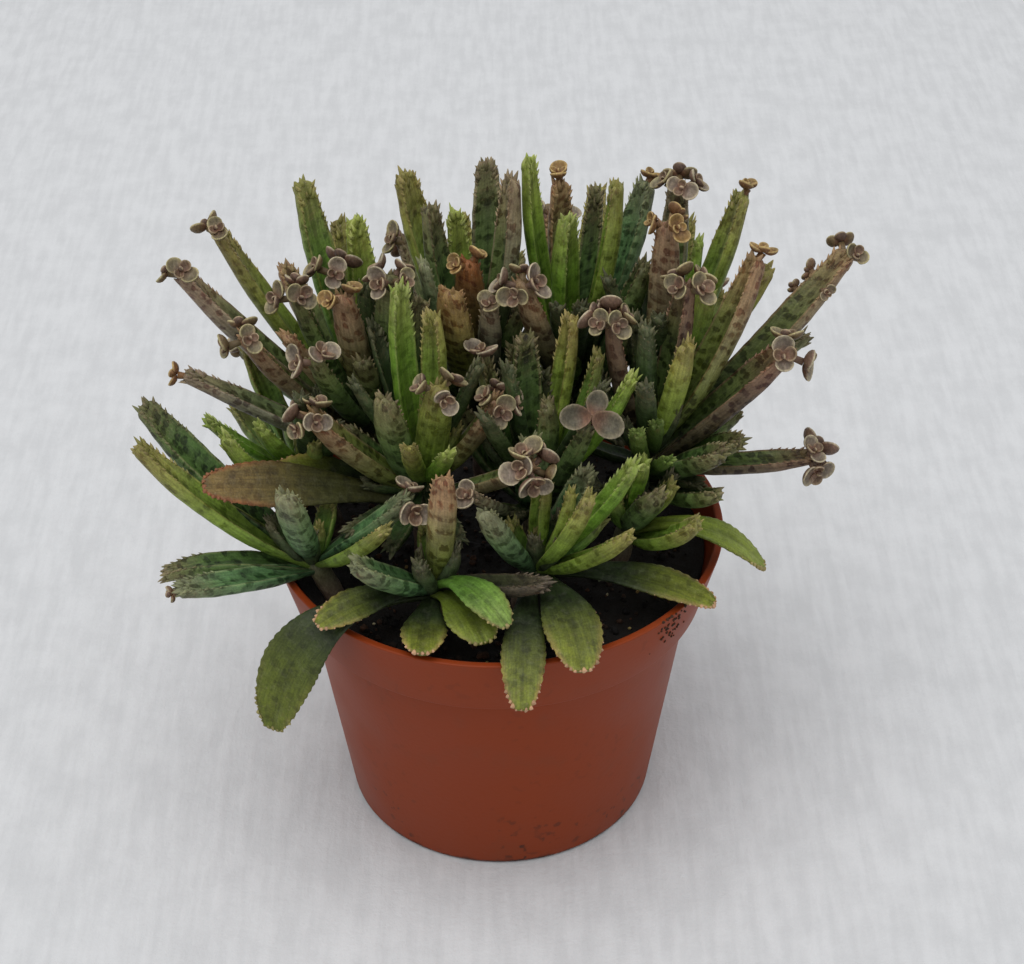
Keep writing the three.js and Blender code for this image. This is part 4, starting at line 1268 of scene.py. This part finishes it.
def soil_material():
    """Moist peat, with the colour of each crumb in its mesh, darkened there past the peat's own brown as
    painted shade under the leaves.
    """
    tree = Tree("peat")
    place = tree.add("ShaderNodeTexCoord").outputs["Object"]
    flesh = tree.attribute("flesh").outputs["Color"]
    fine = tree.noise(place, 900.0, 4.0, 0.7)
    colour = tree.shaded(flesh, tree.ramp(fine, 0.3, 0.7, 0.5, 1.6))
    roughness = tree.ramp(fine, 0.3, 0.7, 0.75, 0.95)
    tree.surface(Base_Color=colour, Roughness=roughness, Specular_IOR_Level=0.3)
    tree.bump(fine, 0.7, 0.0006)
    return tree.material


def fleece_material():
    """A pale non-woven fleece with faint lines."""
    tree = Tree("fleece")
    place = tree.add("ShaderNodeTexCoord").outputs["Object"]
    lines = tree.add("ShaderNodeMapping", {"Vector": place, "Scale": (320.0, 40.0, 1.0)})
    streaks = tree.noise(lines.outputs[0], 1.0, 2.0)
    cloud = tree.noise(place, 90.0, 5.0, 0.62)
    fluff = tree.noise(place, 420.0, 4.0, 0.7)
    value = tree.math("ADD", tree.times(streaks, 0.5), tree.times(cloud, 0.5))
    colour = tree.blend(tree.ramp(value, 0.35, 0.65), rgba("#c7c8ca"), rgba("#d1d2d4"))
    tree.surface(Base_Color=colour, Roughness=0.9, Specular_IOR_Level=0.15)
    tree.bump(tree.math("ADD", tree.times(fluff, 0.6), value), 0.35, 0.0012)
    return tree.material


# The pot

POT_SECTORS = 160
DRILL_SECTORS = 24
EDGE_ANGLE = math.radians(32)


def rounded(profile, steps=4):
    """A closed outline of (radius, height, rounding) corners, each turned into a small arc."""
    result = []
    for k, (r, z, size) in enumerate(profile):
        here = np.array([r, z])
        if size == 0:
            result.append(here)
            continue
        before = np.array(profile[k - 1][:2])
        after = np.array(profile[(k + 1) % len(profile)][:2])
        first = here + unit(before - here) * size
        last = here + unit(after - here) * size
        for s in np.linspace(0, 1, steps + 1):
            result.append(first * (1 - s) ** 2 + here * 2 * s * (1 - s) + last * s ** 2)
    return np.array(result)


def pot_outline():
    """The pot's section: foot ring, wall, ledge, band and rim, then the inside down to the floor."""
    ring_inside = FOOT_RADIUS - FOOT_RING_WIDTH
    return rounded([
        (CENTRE_PAD_RADIUS, 0, 0.3), (CENTRE_PAD_RADIUS + 1, FOOT_RECESS, 0.4),
        (ring_inside - 1, FOOT_RECESS, 0.4), (ring_inside, 0, 0.4), (FOOT_RADIUS, 0, 1.2),
        (WALL_TOP_RADIUS, BAND_FOOT, 0.7), (BAND_FOOT_RADIUS, BAND_FOOT, 0.6),
        (RIM_RADIUS, POT_HEIGHT, 0.5), (RIM_RADIUS - WALL, POT_HEIGHT, 0.5),
        (BAND_FOOT_RADIUS - WALL, BAND_FOOT + STEP_HALF, 0.6),
        (WALL_TOP_RADIUS - WALL, BAND_FOOT - STEP_HALF, 0.6), (FOOT_RADIUS - WALL, FLOOR, 1.0),
    ])


def lathe_mesh(name, outline, sectors):
    """A mesh turned about the pot's axis, closed on the axis at both ends of its outline."""
    count = len(outline)
    angle = np.arange(sectors) * 2 * math.pi / sectors
    points = [(0, 0, outline[0, 1]), (0, 0, outline[-1, 1])]
    for a in angle:
        points.extend((r * math.cos(a), r * math.sin(a), z) for r, z in outline)
    faces = []
    for k in range(sectors):
        here = 2 + k * count
        following = 2 + (k + 1) % sectors * count
        faces.append((0, following, here))
        faces.append((1, here + count - 1, following + count - 1))
        for j in range(count - 1):
            faces.append((here + j, following + j, following + j + 1, here + j + 1))
    mesh = bpy.data.meshes.new(name)
    mesh.from_pydata((np.array(points) * MM).tolist(), [], faces)
    return mesh


def cut(piece, cutters):
    """Takes other meshes away from a piece, and leaves a plain mesh."""
    for cutter in cutters:
        modifier = piece.modifiers.new("cut", "BOOLEAN")
        modifier.operation = "DIFFERENCE"
        modifier.solver = "EXACT"
        modifier.object = cutter
    graph = bpy.context.evaluated_depsgraph_get()
    mesh = bpy.data.meshes.new_from_object(piece.evaluated_get(graph))
    piece.modifiers.clear()
    piece.data = mesh
    for cutter in cutters:
        bpy.data.objects.remove(cutter)


def drills():
    """The cutters of the drain holes."""
    cutters = []
    for k in range(DRAIN_HOLES):
        angle = 2 * math.pi * k / DRAIN_HOLES
        outline = np.array([(DRAIN_HOLE_RADIUS, -FLOOR), (DRAIN_HOLE_RADIUS, 2 * FLOOR)])
        drill = add_object("drill", lathe_mesh("drill", outline, DRILL_SECTORS))
        drill.location = Vector((math.cos(angle), math.sin(angle), 0)) * DRAIN_CIRCLE_RADIUS * MM
        cutters.append(drill)
    return cutters


def pot_piece():
    """The nursery pot."""
    piece = add_object("pot_fine", lathe_mesh("pot_fine", pot_outline(), POT_SECTORS))
    cut(piece, drills())
    piece.data.shade_smooth()
    piece.data.set_sharp_from_angle(angle=EDGE_ANGLE)
    piece.data.materials.clear()
    piece.data.materials.append(pot_material())
    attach(piece, "root")
    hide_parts("pot")


# The soil

SOIL_SECTORS = 200
SOIL_RINGS = 64
SOIL_SEED = 7
# Dark peat browns, darkened further as painted shade under the leaves
SOIL_BROWN_AND_SHADE = "#110c08"
CRUMB_BROWNS_AND_SHADE = ("#100b07", "#1c130d", "#241910", "#0b0806", "#3c281b")
CRUMB_PALES = ("#8a7a4a", "#7d8466", "#a09678", "#6e5a34")
SOIL_SHORT_WAVE = 22
SOIL_LONG_WAVE = 42
CRUMBS = 900
PALE_BITS = 26
RIM_CRUMBS = 46
RIM_SMUDGE = math.radians(-42)
RIM_SMUDGE_DROP = 3.5
BALL_ROWS = 5
BALL_SIDES = 7


def soil_height(x, y):
    """The uneven top of the soil."""
    short = 2 * math.pi / SOIL_SHORT_WAVE
    long = 2 * math.pi / SOIL_LONG_WAVE
    waves = math.sin(x * short + 1) * math.cos(y * short) + math.sin((x - y) * long)
    lumps = noise.fractal(Vector((x, y, 3.0)) * 0.28, 0.8, 2.1, 5)
    return SOIL_TOP + SOIL_BUMP * waves / 2 + 0.55 * lumps


def band_radius(height):
    """The outer radius of the band at a height over the table."""
    return mix(BAND_FOOT_RADIUS, RIM_RADIUS, (height - BAND_FOOT) / BAND_HEIGHT)


def soil_body(skin):
    """The soil's whole body, with a fine top."""
    rim_here = band_radius(SOIL_TOP)
    inset = WALL + 2 * GAP
    angle = np.arange(SOIL_SECTORS) * 2 * math.pi / SOIL_SECTORS
    around = np.column_stack([np.cos(angle), np.sin(angle)])
    rings = []
    for radius, height in (
            (FOOT_RADIUS - inset, FLOOR + GAP), (WALL_TOP_RADIUS - inset, BAND_FOOT - STEP_HALF + GAP),
            (BAND_FOOT_RADIUS - inset, BAND_FOOT + STEP_HALF + GAP)):
        rings.append(np.column_stack([around * radius, np.full(SOIL_SECTORS, height)]))
    for k in range(SOIL_RINGS):
        radius = (rim_here - inset) * (1 - k / SOIL_RINGS)
        ring = [(x * radius, y * radius, soil_height(x * radius, y * radius)) for x, y in around]
        rings.append(np.array(ring))
    rings = np.array(rings)
    skin.loft(rings, srgb(SOIL_BROWN_AND_SHADE))


def crumb(skin, place, size, colour, rng):
    """An irregular lump."""
    row = (np.arange(BALL_ROWS) + 0.5) * math.pi / BALL_ROWS
    angle = np.arange(BALL_SIDES) * 2 * math.pi / BALL_SIDES
    stretch = size * rng.uniform(0.6, 1.0, 3) / 2
    rings = np.stack([
        np.sin(row)[:, None] * np.cos(angle), np.sin(row)[:, None] * np.sin(angle),
        np.cos(row)[:, None] * np.ones(BALL_SIDES),
    ], axis=-1)
    rings = rings * rng.uniform(0.75, 1.15, rings.shape[:2])[..., None] * stretch
    spin = np.array(Matrix.Rotation(rng.uniform(0, 6.3), 3, Vector(rng.normal(size=3))))
    skin.loft(rings @ spin.T + place, colour)


def soil_piece():
    """The soil with its crumbs and pale bits, and a smudge of crumbs on the rim."""
    rng = np.random.default_rng(SOIL_SEED)
    skin = Skin()
    soil_body(skin)
    reach = BAND_FOOT_RADIUS - WALL - 1.5
    browns_and_shade = [srgb(code) for code in CRUMB_BROWNS_AND_SHADE]
    pales = [srgb(code) for code in CRUMB_PALES]
    for k in range(CRUMBS + PALE_BITS):
        radius = reach * math.sqrt(rng.random())
        angle = rng.uniform(0, 2 * math.pi)
        x = radius * math.cos(angle)
        y = radius * math.sin(angle)
        pale = k >= CRUMBS
        size = rng.uniform(0.7, 1.4) if pale else 0.7 + 2.0 * rng.random() ** 2.5
        colour = pales[rng.integers(len(pales))] if pale else browns_and_shade[rng.integers(len(browns_and_shade))]
        crumb(skin, np.array([x, y, soil_height(x, y) + 0.2 * size]), size, colour, rng)
    for _ in range(RIM_CRUMBS):
        angle = RIM_SMUDGE + rng.normal() * 0.05
        height = min(POT_HEIGHT, POT_HEIGHT - RIM_SMUDGE_DROP + 2.6 * rng.normal())
        radius = band_radius(height)
        place = np.array([radius * math.cos(angle), radius * math.sin(angle), height])
        crumb(skin, place, rng.uniform(0.4, 1.1), browns_and_shade[-1], rng)
    make_piece("soil_fine", skin, soil_material(), "soil")


# The floor, the light and the camera

FLOOR_HALF = 2.0
SKY_COLOUR = (0.97, 0.985, 1.0, 1.0)
SKY_STRENGTH = 0.745
LAMP_PLACE = Vector((-0.25, -0.35, 1.8))
LAMP_AIM = Vector((0, 0, 0.09))
LAMP_SIZE = 1.6
LAMP_POWER = 16.2
LAMP_COLOUR = (1.0, 0.99, 0.97)
CAMERA_AIM = np.array([0.0, 0.0, 90.0])
CAMERA_DISTANCE = 520.0
CAMERA_ELEVATION = math.radians(35.66)
CAMERA_ROLL = math.radians(-0.81)
SENSOR_WIDTH = 36.0
PICTURE_WIDTH = 1024
PICTURE_HEIGHT = 964
FOCAL_PIXELS = 2270.83
AIM_PIXEL = (496.88, 467.42)


def floor_piece():
    """The plain pale floor."""
    mesh = bpy.data.meshes.new("floor")
    half = FLOOR_HALF
    corners = [(-half, -half, 0), (half, -half, 0), (half, half, 0), (-half, half, 0)]
    mesh.from_pydata(corners, [], [(0, 1, 2, 3)])
    mesh.materials.append(fleece_material())
    floor = add_object("floor", mesh)


def soft_light():
    """A large soft lamp high on the left, that faces the plant."""
    data = bpy.data.lights.new("sky_high", "AREA")
    data.shape = "DISK"
    data.size = LAMP_SIZE
    data.energy = LAMP_POWER
    data.color = LAMP_COLOUR
    lamp = add_object("sky_high", data)
    lamp.location = LAMP_PLACE
    lamp.rotation_mode = "QUATERNION"
    lamp.rotation_quaternion = (LAMP_AIM - LAMP_PLACE).to_track_quat("-Z", "Y")


def lights():
    """An overcast sky with a little more light from the upper left."""
    world = bpy.data.worlds.new("sky")
    world.use_nodes = True
    background = world.node_tree.nodes["Background"]
    background.inputs["Color"].default_value = SKY_COLOUR
    background.inputs["Strength"].default_value = SKY_STRENGTH
    bpy.context.scene.world = world
    soft_light()


def camera():
    """The camera, where the photograph was taken from."""
    cosine = math.cos(CAMERA_ELEVATION)
    sine = math.sin(CAMERA_ELEVATION)
    forward = np.array([0.0, cosine, -sine])
    level = np.array([1.0, 0.0, 0.0])
    upright = np.cross(level, forward)
    right = level * math.cos(CAMERA_ROLL) + upright * math.sin(CAMERA_ROLL)
    above = upright * math.cos(CAMERA_ROLL) - level * math.sin(CAMERA_ROLL)
    data = bpy.data.cameras.new("camera")
    data.sensor_width = SENSOR_WIDTH
    data.lens = FOCAL_PIXELS / PICTURE_WIDTH * SENSOR_WIDTH
    data.shift_x = (PICTURE_WIDTH / 2 - AIM_PIXEL[0]) / PICTURE_WIDTH
    data.shift_y = (AIM_PIXEL[1] - PICTURE_HEIGHT / 2) / PICTURE_WIDTH
    data.clip_start = 0.01
    eye = add_object("camera", data)
    turn = Matrix((right, above, -forward)).transposed().to_4x4()
    eye.matrix_world = Matrix.Translation(Vector((CAMERA_AIM - forward * CAMERA_DISTANCE) * MM)) @ turn
    bpy.context.scene.camera = eye


camera()
lights()
floor_piece()
pot_piece()
soil_piece()
for plant in PLANTS:
    for order, leaf in enumerate(plant.leaves):
        place_leaf(plant, leaf, order)
settle(PLANTS)
flesh_material = leaf_material()
balls = [balls_along(leaf) for plant in PLANTS for leaf in plant.leaves]
taken = [np.vstack([points for points, _ in balls]), np.concatenate([radii for _, radii in balls])]
for number, plant in enumerate(PLANTS):
    plant_piece(plant, number, flesh_material, taken)
bpy.context.scene.view_settings.view_transform = "Standard"
